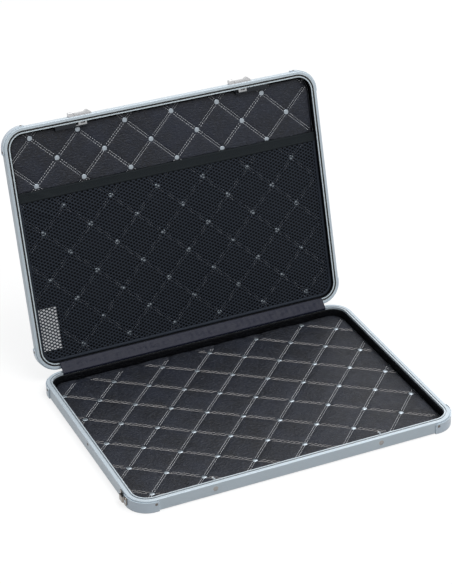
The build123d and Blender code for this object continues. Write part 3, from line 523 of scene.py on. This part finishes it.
def band_piece(finish):
    """Elastic band along the pocket's mouth, with a tuck in it at the left."""
    half = CASE_W / 2 - LINING_IN - 0.1
    x = np.linspace(-half, half, 320)
    y_low, y_high = BAND_Y
    face, rear = [], []
    for t in np.linspace(0, 1, 15):
        y = y_low + t * (y_high - y_low)
        round_off = math.sqrt(max(0.0, 1 - (2 * t - 1) ** 8))
        wave = 0.22 * np.sin(x * 0.05 + 1.3) + 0.12 * np.sin(x * 0.13 + 4 * t)
        tuck = np.exp(-(((x - TUCK_X) * 0.42 - (y - y_low - 4)) / 3.2) ** 2) * (x < TUCK_X + 28)
        edge = np.full_like(x, y) + 0.35 * np.sin(x * 0.021) * (2 * t - 1)
        piping = 0.4 * math.exp(-(((y - y_high + 1.1) / 0.8) ** 2))
        piping += 0.25 * math.exp(-(((y - y_low - 1.6) / 0.7) ** 2))
        lift = BAND_T / 2 * round_off + piping
        middle = NET_LEVEL - 0.4 * wave * round_off
        face.append(np.column_stack([x, edge, middle - lift - tuck * 0.45]))
        rear.append(np.column_stack([x, edge, middle + lift]))
    points = np.concatenate(face + rear[::-1])
    loops, count = 2 * len(face), len(x)
    faces = [tuple(f) for f in grid_faces(loops, count, flip=True)]
    last = (loops - 1) * count
    faces += [(i + 1, i, last + i, last + i + 1) for i in range(count - 1)]
    faces.append(tuple(range(0, last + 1, count)))
    faces.append(tuple(range(last + count - 1, 0, -count)))
    return add_piece("pocket_elastic", in_lid(points), faces, finish, "band")


def label_piece(finish):
    """Blank cloth patch on the lid's pad: its corners lift a little."""
    nx, ny = 25, 51
    u, v = np.meshgrid(np.linspace(-1, 1, nx), np.linspace(-1, 1, ny))
    x = LABEL_AT[0] + u * LABEL_SIZE[0] / 2
    y = LABEL_AT[1] + v * LABEL_SIZE[1] / 2
    under = pad_height(Quilt(**LID_QUILT), x, y, abs(LID_PAD[1] - LID_PAD[0]))
    level = np.maximum(under, LABEL_LEVEL) + LABEL_GAP + LABEL_CURL * (u * v) ** 4
    sides = [np.stack([x, y, LID_PAD[0] - level - rise], -1).reshape(-1, 3)
             for rise in (LABEL_T, 0)]
    faces = sheet_faces(ny, nx, flip=True)
    return add_piece("label_patch", in_lid(np.concatenate(sides)), faces, finish, "label")


# ---------------------------------------------------------------- hinge strip
def rounded_path(corners, radius, steps=7):
    """Points along a polyline whose inner corners are arcs."""
    corners = [np.array(c, float) for c in corners]
    points = [corners[0]]
    for before, here, after in zip(corners, corners[1:], corners[2:]):
        a, b = before - here, after - here
        a, b = a / np.linalg.norm(a), b / np.linalg.norm(b)
        angle = math.acos(float(np.clip(a @ b, -1, 1)))
        if math.pi - angle < 1e-3:
            continue
        reach = radius / math.tan(angle / 2)
        middle = here + (a + b) / np.linalg.norm(a + b) * radius / math.sin(angle / 2)
        start, end = here + a * reach - middle, here + b * reach - middle
        turn = math.acos(float(np.clip(start @ end / radius**2, -1, 1)))
        for t in np.linspace(0, 1, steps):
            arm = start * math.sin((1 - t) * turn) + end * math.sin(t * turn)
            points.append(middle + arm / math.sin(turn))
    points.append(corners[-1])
    return np.array(points)


def strip_line():
    """The strip's middle line, seen along the pin: (y, z) from the base's lip to the lid's lip."""
    mid = CASE_D / 2 - LIP_IN - 0.08 - STRIP_T / 2
    shut = [(0, mid, LID_Z), (0, mid, LID_Z + STRIP_GRIP)]
    swung = [tuple(p[1:]) for p in open_lid(shut)]
    return rounded_path([(mid, BASE_H - STRIP_GRIP), (mid, BASE_H + 0.2), *swung], radius=0.8)


def strip_piece(finish):
    """Satin cover over the hinge, slack and slightly wrinkled between its two glued edges.

    It returns the piece, its middle line seen along the pin, and that line's length."""
    line = strip_line()
    dense = []
    for a, b in zip(line, line[1:]):
        n = max(1, int(np.linalg.norm(b - a) / 0.7))
        dense += [a + (b - a) * k / n for k in range(n)]
    dense = np.array(dense + [line[-1]])
    way = np.gradient(dense, axis=0)
    way /= np.linalg.norm(way, axis=1, keepdims=True)
    normal = np.column_stack([-way[:, 1], way[:, 0]])
    run = np.concatenate([[0], np.cumsum(np.linalg.norm(np.diff(dense, axis=0), axis=1))])
    t = (run / run[-1])[:, None]
    x = np.linspace(-STRIP_W / 2, STRIP_W / 2, 420)
    slack = np.clip(np.sin(np.pi * np.clip((t - 0.14) / 0.72, 0, 1)), 0, 1)
    wrinkle = 0.35 * np.sin(0.09 * x + 5 * t) + 0.2 * np.sin(0.31 * x - 7 * t + 1)
    wrinkle = (wrinkle + 0.12 * np.sin(0.83 * x + 2 * t)) * slack
    layers = []
    for side in (-1, 1):
        out = side * STRIP_T / 2 + wrinkle
        y, z = (dense[:, k, None] + normal[:, k, None] * out for k in (0, 1))
        layers.append(np.stack([np.broadcast_to(x, y.shape), y, z], -1).reshape(-1, 3))
    faces = sheet_faces(len(dense), len(x))
    piece = add_piece("hinge_cover", np.concatenate(layers), faces, finish, "strip")
    return piece, dense, run[-1]


# ---------------------------------------------------------------- materials
def add_node(tree, kind, inputs, **settings):
    """A shader node. inputs maps its sockets to values, or to the sockets that feed them."""
    node = tree.nodes.new("ShaderNode" + kind)
    for key, value in settings.items():
        setattr(node, key, value)
    for key, value in inputs.items():
        if isinstance(value, bpy.types.NodeSocket):
            tree.links.new(value, node.inputs[key])
        else:
            node.inputs[key].default_value = value
    return node


def scaled(color, by, most=1.0):
    """A lighter or darker colour."""
    return tuple(min(most, c * by) for c in color)


class Finish:
    """A Principled material and short calls for the nodes that feed it."""

    def __init__(self, name, color, roughness, metallic=0.0, lid=False, specular=None):
        """lid: its patterns lie along the open lid."""
        self.material = bpy.data.materials.new(name)
        self.material.use_nodes = True
        self.tree = self.material.node_tree
        self.shader = self.tree.nodes["Principled BSDF"]
        self.shader.inputs["Base Color"].default_value = (*color, 1)
        self.shader.inputs["Roughness"].default_value = roughness
        self.shader.inputs["Metallic"].default_value = metallic
        if specular is not None:
            self.shader.inputs["Specular IOR Level"].default_value = specular
        self.place = self.node("TexCoord", {}).outputs["Object"]
        if lid:
            pin = (0, HINGE_Y * MM, HINGE_Z * MM)
            swing = {"Vector": self.place, "Center": pin, "Angle": OPEN_ANGLE}
            self.place = self.node("VectorRotate", swing, rotation_type="X_AXIS").outputs["Vector"]

    def node(self, kind, inputs, **settings):
        """A node of this material."""
        return add_node(self.tree, kind, inputs, **settings)

    def feed(self, socket, value):
        """Links a value to one of the shader's sockets."""
        self.tree.links.new(value, self.shader.inputs[socket])

    def stretched(self, scale):
        """The place, scaled along each axis."""
        scaling = {0: self.place, 1: scale}
        return self.node("VectorMath", scaling, operation="MULTIPLY").outputs[0]

    def noise(self, scale, detail=3.0, rough=0.5, vector=None):
        """Cloudy noise, by default at the place itself."""
        look = {"Scale": scale, "Detail": detail, "Roughness": rough}
        return self.node("TexNoise", {"Vector": vector or self.place, **look}).outputs["Fac"]

    def cells(self, scale):
        """Distance from the nearest of scattered points."""
        return self.node("TexVoronoi", {"Vector": self.place, "Scale": scale}).outputs["Distance"]

    def wave(self, scale, axis, distort=0.0):
        """Ribs across an axis."""
        look = {"Vector": self.place, "Scale": scale, "Distortion": distort}
        return self.node("TexWave", look, bands_direction=axis).outputs["Fac"]

    def remap(self, value, low, high, start=0.0, end=1.0):
        """low where the value is start, high where it is end."""
        limits = {"From Min": start, "From Max": end, "To Min": low, "To Max": high}
        return self.node("MapRange", {"Value": value, **limits}).outputs["Result"]

    def blend(self, value, first, second, **settings):
        """The first colour where the value is 0, the second where it is 1."""
        pair = [(*c, 1) if isinstance(c, tuple) else c for c in (first, second)]
        inputs = {"Factor": value, 6: pair[0], 7: pair[1]}
        return self.node("Mix", inputs, data_type="RGBA", **settings).outputs[2]

    def times(self, first, second):
        """Two values, multiplied."""
        return self.node("Math", {0: first, 1: second}, operation="MULTIPLY").outputs[0]

    def edges(self, radius):
        """0 on flat surfaces, up to 1 on edges: where hands and use polish a piece, and where the
        lighter colour is partly a painted highlight.
        """
        bevel = self.node("Bevel", {"Radius": radius}, samples=4).outputs[0]
        true = self.node("NewGeometry", {}).outputs["Normal"]
        dot = self.node("VectorMath", {0: bevel, 1: true}, operation="DOT_PRODUCT")
        return self.remap(dot.outputs["Value"], 1.0, 0.0, 0.72, 0.98)

    def painted_crevice_shade(self, color, reach, shade=0.3, clear=0.85):
        """The colour, with painted shade where surfaces face each other within reach."""
        # ambient occlusion, multiplied into the colour as painted shade in recesses and corners
        near = self.node("AmbientOcclusion", {"Distance": reach}, samples=8)
        dim = self.remap(near.outputs["AO"], 0.0, 1.0, 0.35, clear)
        deep = self.blend(dim, (shade,) * 3, (1.0, 1.0, 1.0))
        return self.blend(1.0, color, deep, blend_type="MULTIPLY")

    def painted_net_shade(self, color, shaded):
        """One colour in front of the pocket's band and another behind its net, darker there as the
        net's painted shadow.
        """
        along = self.node("SeparateXYZ", {0: self.place}).outputs["Y"]
        edge = BAND_Y[1] * MM
        return self.blend(self.remap(along, 0.0, 1.0, edge - 0.002, edge), color, shaded)

    def bump(self, *layers):
        """Bump layers, each (height, depth in metres)."""
        under = {}
        for height, depth in layers:
            inputs = {"Height": height, "Strength": 1.0, "Distance": depth, **under}
            under = {"Normal": self.node("Bump", inputs).outputs["Normal"]}
        self.feed("Normal", under["Normal"])


def aluminium(name, color, lid=False, roughness=0.38, metallic=0.15, wear_and_highlight=1.4):
    """Satin anodised aluminium: die lines along the run, cloudy dye, edges lighter where rubbed and
    with a painted highlight, and painted shade in its grooves and corners.
    """
    f = Finish(name, color, roughness, metallic, lid)
    lines = f.noise(1.0, 4.0, 0.6, f.stretched((24, 24, 5200)))
    cloud = f.noise(30.0, 3.0)
    edge = f.edges(0.0007)
    dye = f.blend(cloud, scaled(color, 0.97), scaled(color, 1.03))
    # the edges' lighter colour: rubbed metal and a painted highlight along the lips
    skin = f.blend(edge, dye, scaled(color, wear_and_highlight, 0.95))
    # painted shade in the grooves and where parts meet
    f.feed("Base Color", f.painted_crevice_shade(skin, 0.0022, clear=0.62))
    f.feed("Metallic", f.remap(edge, metallic, 0.8))
    drawn = f.times(lines, cloud)
    f.feed("Roughness", f.remap(drawn, roughness + 0.1, roughness - 0.1, 0.1, 0.45))
    f.bump((lines, 0.00002), (f.noise(1500.0, 2.0), 0.00001))
    return f.material


LEATHER_LOW, LEATHER_HIGH = (0.0095, 0.0105, 0.0140), (0.0165, 0.0195, 0.0300)
LEATHER_CREST = (0.040, 0.045, 0.059)


def leatherette(name, lid=False, tint_and_shade=(1.0, 1.0, 1.0), gloss=0.35, reach=0.014):
    """Coated cloth: creased pebble grain in soft bluish patches, with painted shade within reach of
    a wall, a stud or a stitch.
    """
    f = Finish(name, (0.02, 0.022, 0.027), 0.5, 0.0, lid, gloss)
    sheen = f.noise(150.0, 2.0)
    pebble = f.cells(620.0)
    crease = f.noise(1.0, 2.5, 0.55, f.stretched((300, 520, 420)))
    patch = f.noise(26.0, 3.0, 0.6)
    # for the copies behind the net and on the walls, these colours are scaled down as painted shade
    low, high, crest = (tuple(c * t for c, t in zip(color, tint_and_shade))
                        for color in (LEATHER_LOW, LEATHER_HIGH, LEATHER_CREST))
    ground = f.blend(f.remap(patch, 0.0, 1.0, 0.35, 0.7), low, high)
    skin = f.blend(f.remap(crease, 0.0, 0.75, 0.5, 0.7), ground, crest)
    # painted shade near walls, studs and stitches
    f.feed("Base Color", f.painted_crevice_shade(skin, reach) if reach else skin)
    f.feed("Roughness", f.remap(sheen, 0.38, 0.55, 0.3, 0.7))
    f.bump((crease, 0.0010), (f.remap(pebble, 1.0, 0.0, 0.0, 0.8), 0.0003))
    return f.material


def thread(name, color, shaded=None):
    """Twisted thread, with painted shade between its strands. shaded: its colour where it lies
    behind the pocket's net, painted darker as the net's shadow.
    """
    f = Finish(name, color, 0.7, lid=shaded is not None)
    twist = f.wave(900.0, "DIAGONAL", 1.5)
    # painted shade in the grooves between the strands
    shown = f.blend(twist, scaled(color, 0.75), color)
    f.feed("Base Color", f.painted_net_shade(shown, shaded) if shaded else shown)
    f.bump((twist, 0.00006))
    return f.material


def steel(name, color, roughness, metallic=0.8, lid=False, wear_and_highlight=1.3, shade=0.3):
    """Plated steel: slightly mottled, scratched, edges lighter where rubbed and with a painted
    highlight, and painted shade in its corners.
    """
    f = Finish(name, color, roughness, metallic, lid)
    mottled = f.noise(420.0, 3.0, 0.6)
    scratch = f.noise(1.0, 2.0, 0.5, f.stretched((3000, 160, 3000)))
    body = f.blend(mottled, scaled(color, 0.88), color)
    # the edges' lighter colour: rubbed plating and a painted highlight
    skin = f.blend(f.edges(0.0004), body, scaled(color, wear_and_highlight, 0.95))
    # painted shade in corners and round the heads of rivets
    f.feed("Base Color", f.painted_crevice_shade(skin, 0.0012, shade))
    f.feed("Roughness", f.remap(mottled, roughness - 0.08, roughness + 0.12))
    f.bump((scratch, 0.000015))
    return f.material


def moulded(name, color, roughness, lid=False):
    """Moulded plastic with a spark-eroded grain."""
    f = Finish(name, color, roughness, 0.0, lid, 0.3)
    spark = f.noise(2600.0, 3.0, 0.6)
    f.feed("Base Color", f.blend(spark, scaled(color, 0.8), scaled(color, 1.25)))
    f.feed("Roughness", f.remap(spark, roughness - 0.06, roughness + 0.08))
    f.bump((spark, 0.00004))
    return f.material


def rubber(name, color, lid=False):
    """Matt rubber with some dust on it."""
    f = Finish(name, color, 0.62, 0.0, lid)
    dust = f.remap(f.noise(120.0, 4.0, 0.6), 0.0, 0.3, 0.6, 0.8)
    f.feed("Base Color", f.blend(dust, color, (0.03, 0.029, 0.028)))
    f.bump((f.noise(1800.0, 2.0), 0.00003))
    return f.material


def cloth(name, color, pitch, roughness=0.75, lid=False, depth=0.00008, light=1.5):
    """Plain weave of ribs at one pitch, in millimetres, its crests painted lighter as a highlight.
    light: how much lighter the crests are painted.
    """
    f = Finish(name, color, roughness, 0.0, lid, 0.2)
    scale = math.pi / 10 / (pitch * MM)
    weave = f.times(f.wave(scale, "X"), f.wave(scale, "Y"))
    ground = f.blend(f.noise(60.0, 3.0), scaled(color, 0.75), color)
    # painted highlight on the weave's crests
    f.feed("Base Color", f.blend(weave, ground, scaled(color, light)))
    f.bump((weave, depth))
    return f.material


def satin(name, color):
    """Ribbed satin with slanting creases, painted lighter and darker along them as highlight and
    shade.
    """
    f = Finish(name, color, 0.45, specular=0.22)
    ribs = f.noise(1.0, 2.0, 0.5, f.stretched((2600, 60, 60)))
    crease = f.noise(1.0, 3.0, 0.55, f.stretched((60, 160, 25)))
    # painted highlight and shade along the creases
    f.feed("Base Color", f.blend(crease, scaled(color, 0.85), scaled(color, 1.15)))
    f.feed("Roughness", f.remap(ribs, 0.4, 0.52))
    f.bump((ribs, 0.00003), (crease, 0.0006))
    return f.material


# ---------------------------------------------------------------- camera
# Fitted to the photo: where it looks, its angles, its distance, and its lens in pixels.
TARGET = Vector((48.497, 83.955, 60.0)) * MM
AZIMUTH, ELEVATION, ROLL = (math.radians(a) for a in (-24.479, 30.614, -0.864))
DISTANCE = 2526.5 * MM
IMAGE_W, IMAGE_H = 452, 584
FOCAL_PX = 2116.93
CENTRE_PX = (252.615, 320.024)


def add_camera():
    """The camera that took the photo, as fitted to the case's edges."""
    level = math.cos(ELEVATION)
    back = Vector((math.sin(AZIMUTH) * level, -math.cos(AZIMUTH) * level, math.sin(ELEVATION)))
    right = Vector((math.cos(AZIMUTH), math.sin(AZIMUTH), 0))
    up = back.cross(right)
    x = math.cos(ROLL) * right + math.sin(ROLL) * up
    y = -math.sin(ROLL) * right + math.cos(ROLL) * up
    data = bpy.data.cameras.new("camera")
    data.lens = FOCAL_PX * data.sensor_width / IMAGE_H
    data.shift_x = -(CENTRE_PX[0] - IMAGE_W / 2) / IMAGE_H
    data.shift_y = (CENTRE_PX[1] - IMAGE_H / 2) / IMAGE_H
    data.clip_start, data.clip_end = 0.05, 20
    camera = new_object("camera", data)
    turned = Matrix((x, y, back)).transposed().to_4x4()
    camera.matrix_world = Matrix.Translation(TARGET + back * DISTANCE) @ turned
    bpy.context.scene.camera = camera


# ---------------------------------------------------------------- light and floor
def add_lamp(name, place, target, size, power):
    """A square lamp at a place, turned to a target: metres and watts."""
    data = bpy.data.lights.new(name, "AREA")
    data.shape, data.size, data.size_y = "RECTANGLE", size, size
    data.energy = power
    lamp = new_object(name, data)
    lamp.location = place
    lamp.rotation_euler = (Vector(target) - Vector(place)).to_track_quat("-Z", "Y").to_euler()


def seen(tree, lighting, shown, output):
    """lighting is what lights the case; shown is what the camera, metal and glass see of it."""
    path = add_node(tree, "LightPath", {})
    ray = path.outputs["Is Camera Ray"]
    for other in ("Is Glossy Ray", "Is Transmission Ray"):
        either = add_node(tree, "Math", {0: ray, 1: path.outputs[other]}, operation="MAXIMUM")
        ray = either.outputs[0]
    mix = add_node(tree, "MixShader", {0: ray, 1: lighting.outputs[0], 2: shown.outputs[0]})
    tree.links.new(mix.outputs[0], output.inputs["Surface"])


def add_world():
    """A sky that lights the case, brighter overhead, and is plain white to look at."""
    world = bpy.data.worlds.new("studio")
    world.use_nodes = True
    tree = world.node_tree
    place = add_node(tree, "TexCoord", {})
    split = add_node(tree, "SeparateXYZ", {0: place.outputs["Generated"]})
    limits = {"From Min": 0.0, "From Max": 1.0, "To Min": 0.06, "To Max": 0.78}
    ramp = add_node(tree, "MapRange", {"Value": split.outputs["Z"], **limits})
    sky = tree.nodes["Background"]
    tree.links.new(ramp.outputs["Result"], sky.inputs["Strength"])
    sky.inputs["Color"].default_value = (0.97, 0.985, 1.0, 1)
    white = add_node(tree, "Background", {"Color": (1, 1, 1, 1)})
    seen(tree, sky, white, tree.nodes["World Output"])
    bpy.context.scene.world = world


def add_floor():
    """Pale floor: white to the camera, with the case's shadow where it is deepest."""
    size, height = 4.0, FLOOR_Z * MM
    mesh = bpy.data.meshes.new("floor")
    corners = [(x * size, y * size, height) for x, y in ((-1, -1), (1, -1), (1, 1), (-1, 1))]
    mesh.from_pydata(corners, [], [(0, 1, 2, 3)])
    material = bpy.data.materials.new("floor")
    material.use_nodes = True
    tree = material.node_tree
    tree.nodes.remove(tree.nodes["Principled BSDF"])
    dim = add_node(tree, "BsdfDiffuse", {"Color": (0.22, 0.22, 0.225, 1)})
    pale = add_node(tree, "BsdfDiffuse", {"Color": (0.3, 0.3, 0.3, 1)})
    glow = add_node(tree, "Emission", {"Color": (1, 1, 1, 1), "Strength": 0.75})
    both = add_node(tree, "AddShader", {0: pale.outputs[0], 1: glow.outputs[0]})
    seen(tree, dim, both, tree.nodes["Material Output"])
    mesh.materials.append(material)
    new_object("floor", mesh)


# ---------------------------------------------------------------- the scene
def dress_nodes():
    """Gives every CAD node that stays in view its material."""
    frame_grey = (0.60, 0.685, 0.75)
    base_metal = aluminium("base_aluminium", frame_grey, wear_and_highlight=1.6)
    lid_metal = aluminium("lid_aluminium", frame_grey, lid=True)
    base_cap = aluminium("base_cap_metal", (0.57, 0.655, 0.735), False, 0.34, 0.2)
    lid_cap = aluminium("lid_cap_metal", (0.60, 0.685, 0.77), True, 0.34, 0.2)
    latch = steel("latch_metal", (0.66, 0.66, 0.67), 0.26, 0.6, lid=True, wear_and_highlight=1.4, shade=0.25)
    dull = steel("dull_rivet", (0.17, 0.155, 0.145), 0.45, 0.6)
    bright = steel("bright_rivet", (0.50, 0.55, 0.60), 0.25)
    grey_head = steel("strike_rivet_metal", (0.33, 0.32, 0.31), 0.28, 0.75)
    hook = steel("plated_hook", (0.82, 0.83, 0.84), 0.24)
    # the left loop: brown-grey metal, coloured darker than the right loop's, partly as painted
    # shade of the slot inside it
    dark_loop_metal = steel("loop_plate", (0.27, 0.25, 0.23), 0.2, 0.85)
    claw = steel("catch_plate", (0.42, 0.43, 0.44), 0.3, lid=True, wear_and_highlight=1.9)
    hinge = steel("hinge_steel", (0.40, 0.43, 0.46), 0.38, 0.7)
    gasket = rubber("seal_rubber", (0.005, 0.005, 0.006), lid=True)
    dark = moulded("housing_plastic", (0.008, 0.011, 0.016), 0.42, lid=True)
    finishes = {
        "base_frame": base_metal, "base_panel": base_metal,
        "lid_frame": lid_metal, "lid_panel": lid_metal, "lid_gasket": gasket,
        "base_cap_rivets": dull, "lid_cap_rivets": dull, "base_side_rivets": dull,
        "hinge_rivets_base": dull, "hinge_rivets_lid": dull,
        "hinge_leaf_base": hinge, "hinge_leaf_lid": hinge, "hinge_pin": hinge,
        "strike_left": hook, "strike_right": hook, "strike_rivets": grey_head,
        "strap_loop_left": dark_loop_metal, "strap_loop_right": bright, "strap_loop_rivets": bright,
    }
    for corner in ("front_left", "front_right", "back_left", "back_right"):
        finishes["base_cap_" + corner], finishes["lid_cap_" + corner] = base_cap, lid_cap
    for side in ("left", "right"):
        finishes["latch_plate_" + side] = finishes["latch_thumb_" + side] = latch
        finishes["latch_screws_" + side] = hook
        finishes["latch_bolt_" + side] = claw
        finishes["latch_housing_" + side] = dark
    for name, finish in finishes.items():
        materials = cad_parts[name].data.materials
        materials.clear()
        materials.append(finish)


def add_linings():
    """The quilted pads with their stitches and studs, and the walls' linings."""
    base_skin = leatherette("base_leatherette", tint_and_shade=(0.93, 0.95, 0.98), gloss=0.32)
    lid_skin = leatherette("lid_leatherette", lid=True, tint_and_shade=(0.83, 0.90, 1.03), gloss=0.32)
    pale = thread("pale_thread", (0.90, 0.91, 0.94))
    brown = thread("brown_thread", (0.72, 0.69, 0.68))
    # behind the net the thread is painted darker, as the net's shadow
    lid_thread = thread("lid_thread", (0.88, 0.90, 0.94), shaded=(0.36, 0.38, 0.42))
    silver = steel("stud_metal", (0.46, 0.52, 0.57), 0.26, 0.75)
    base_quilt, lid_quilt = Quilt(**BASE_QUILT), Quilt(**LID_QUILT)

    pad = quilted_pad("base_pad", base_quilt, BASE_PAD, 1, np.asarray, base_skin)
    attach(pad, "base")
    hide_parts("base_floor_lining")
    paths = dashes(base_quilt, 1, BASE_DASH[0], BASE_ENDS)
    rows = thread_tubes(paths, BASE_DASH[1], BASE_PAD, 1, base_quilt)
    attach(add_piece("base_stitches", *rows, pale, "lining"), "base")
    paths = ropes(base_quilt, -1, BASE_ROPE[0], BASE_ENDS)
    rows = thread_tubes(paths, BASE_ROPE[1], BASE_PAD, 1, base_quilt)
    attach(add_piece("base_rope_stitches", *rows, brown, "lining"), "base")
    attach(studs("base_studs", base_quilt, BASE_PAD, 1, np.asarray, silver), "base")

    # a copy of the lid's leatherette at 0.15, with less gloss: the net's shadow painted on the pad
    # behind it
    dark = dict(tint_and_shade=(0.15,) * 3, gloss=0.08, reach=None)
    shaded_skin = leatherette("lid_leatherette_shaded", lid=True, **dark)
    pad = quilted_pad("lid_pad", lid_quilt, LID_PAD, -1, in_lid, lid_skin, shaded_skin)
    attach(pad, "lid")
    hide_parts("lid_lining")
    paths = [dashes(lid_quilt, slant, LID_DASH[0], LID_ENDS) for slant in (1, -1)]
    points, faces = thread_tubes(np.concatenate(paths), LID_DASH[1], LID_PAD, -1, lid_quilt)
    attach(add_piece("lid_stitches", in_lid(points), faces, lid_thread, "lining"), "lid")
    silver = steel("lid_stud_metal", (0.38, 0.43, 0.475), 0.28, 0.72, lid=True)
    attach(studs("lid_studs", lid_quilt, LID_PAD, -1, in_lid, silver), "lid")

    # the pads' leatherette at a fifth, with little gloss: a dark lining, made darker still as
    # painted shade on the walls
    dark = dict(tint_and_shade=(0.2,) * 3, gloss=0.12, reach=None)
    low, high = BASE_WALL
    section = [(7.9, low), (LINING_IN, low + 1), (LINING_IN, (low + high) / 2)]
    section += [(LINING_IN, high - 2), (7.95, high - 0.5), (7.5, high)]
    section += [(LIP_IN, high), (LIP_IN, low)]
    wall_skin = leatherette("base_wall_leatherette", **dark)
    strip = swept_ring("base_wall_padding", section, np.asarray, wall_skin)
    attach(strip, "base")
    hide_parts("base_wall_lining")
    low, high = LID_WALL
    section = [(LINING_IN, high), (LINING_IN, low + 2), (7.95, low + 0.5), (7.5, low)]
    section += [(LIP_IN, low), (LIP_IN, high)]
    wall_skin = leatherette("lid_wall_leatherette", lid=True, **dark)
    housings = [sorted(side * (LATCH_X + x) for x in HOUSING_X) for side in (-1, 1)]
    strip = swept_ring("lid_wall_padding", section, in_lid, wall_skin, housings)
    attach(strip, "lid")
    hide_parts("lid_wall_lining")


def add_pocket():
    """The lid's net pocket with its hem and elastic band, and the patch behind it."""
    knit = cloth("net_knit", (0.027, 0.034, 0.047), 0.5, 0.7, lid=True)
    ribs = dict(depth=0.00015, light=1.9)
    elastic = cloth("elastic_weave", (0.0125, 0.0165, 0.0195), 0.8, lid=True, **ribs)
    patch = cloth("patch_cloth", (0.92, 0.93, 0.95), 0.4, 0.8, lid=True, light=1.05)
    net = net_piece(knit)
    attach(net, "lid")
    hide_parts("pocket_net")
    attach(net_hem(knit), "lid")
    band = band_piece(elastic)
    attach(band, "lid")
    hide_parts("pocket_band")
    label = label_piece(patch)
    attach(label, "lid")
    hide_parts("label_tag")


def add_strip():
    """The hinge's cover, shaped between its glued edges for the open lid."""
    piece, line, length = strip_piece(satin("strip_satin", (0.010, 0.012, 0.027)))
    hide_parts("hinge_strip")
    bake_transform(piece)


def add_springs():
    """The latches' folded springs, in place of the CAD's, between their stops and the bolts."""
    leaf = steel("spring_leaf", (0.62, 0.63, 0.64), 0.3, lid=True)
    for side in ("left", "right"):
        low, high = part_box("latch_spring_" + side)
        spring = folded_spring("latch_leaf_" + side, (low[0] / MM, high[0] / MM), leaf)
        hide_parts("latch_spring_" + side)
        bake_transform(spring)


def main():
    """Builds the photographed scene."""
    bpy.context.scene.view_settings.view_transform = "Standard"
    add_camera()
    add_world()
    add_floor()
    add_lamp("key", (0.4, -0.75, 2.2), (0, 0, 0.1), 1.4, 24.0)
    add_lamp("back", (1.0, 0.9, 2.0), (0, 0, 0), 1.2, 10.0)
    dress_nodes()
    add_linings()
    add_pocket()
    add_strip()
    add_springs()


main()
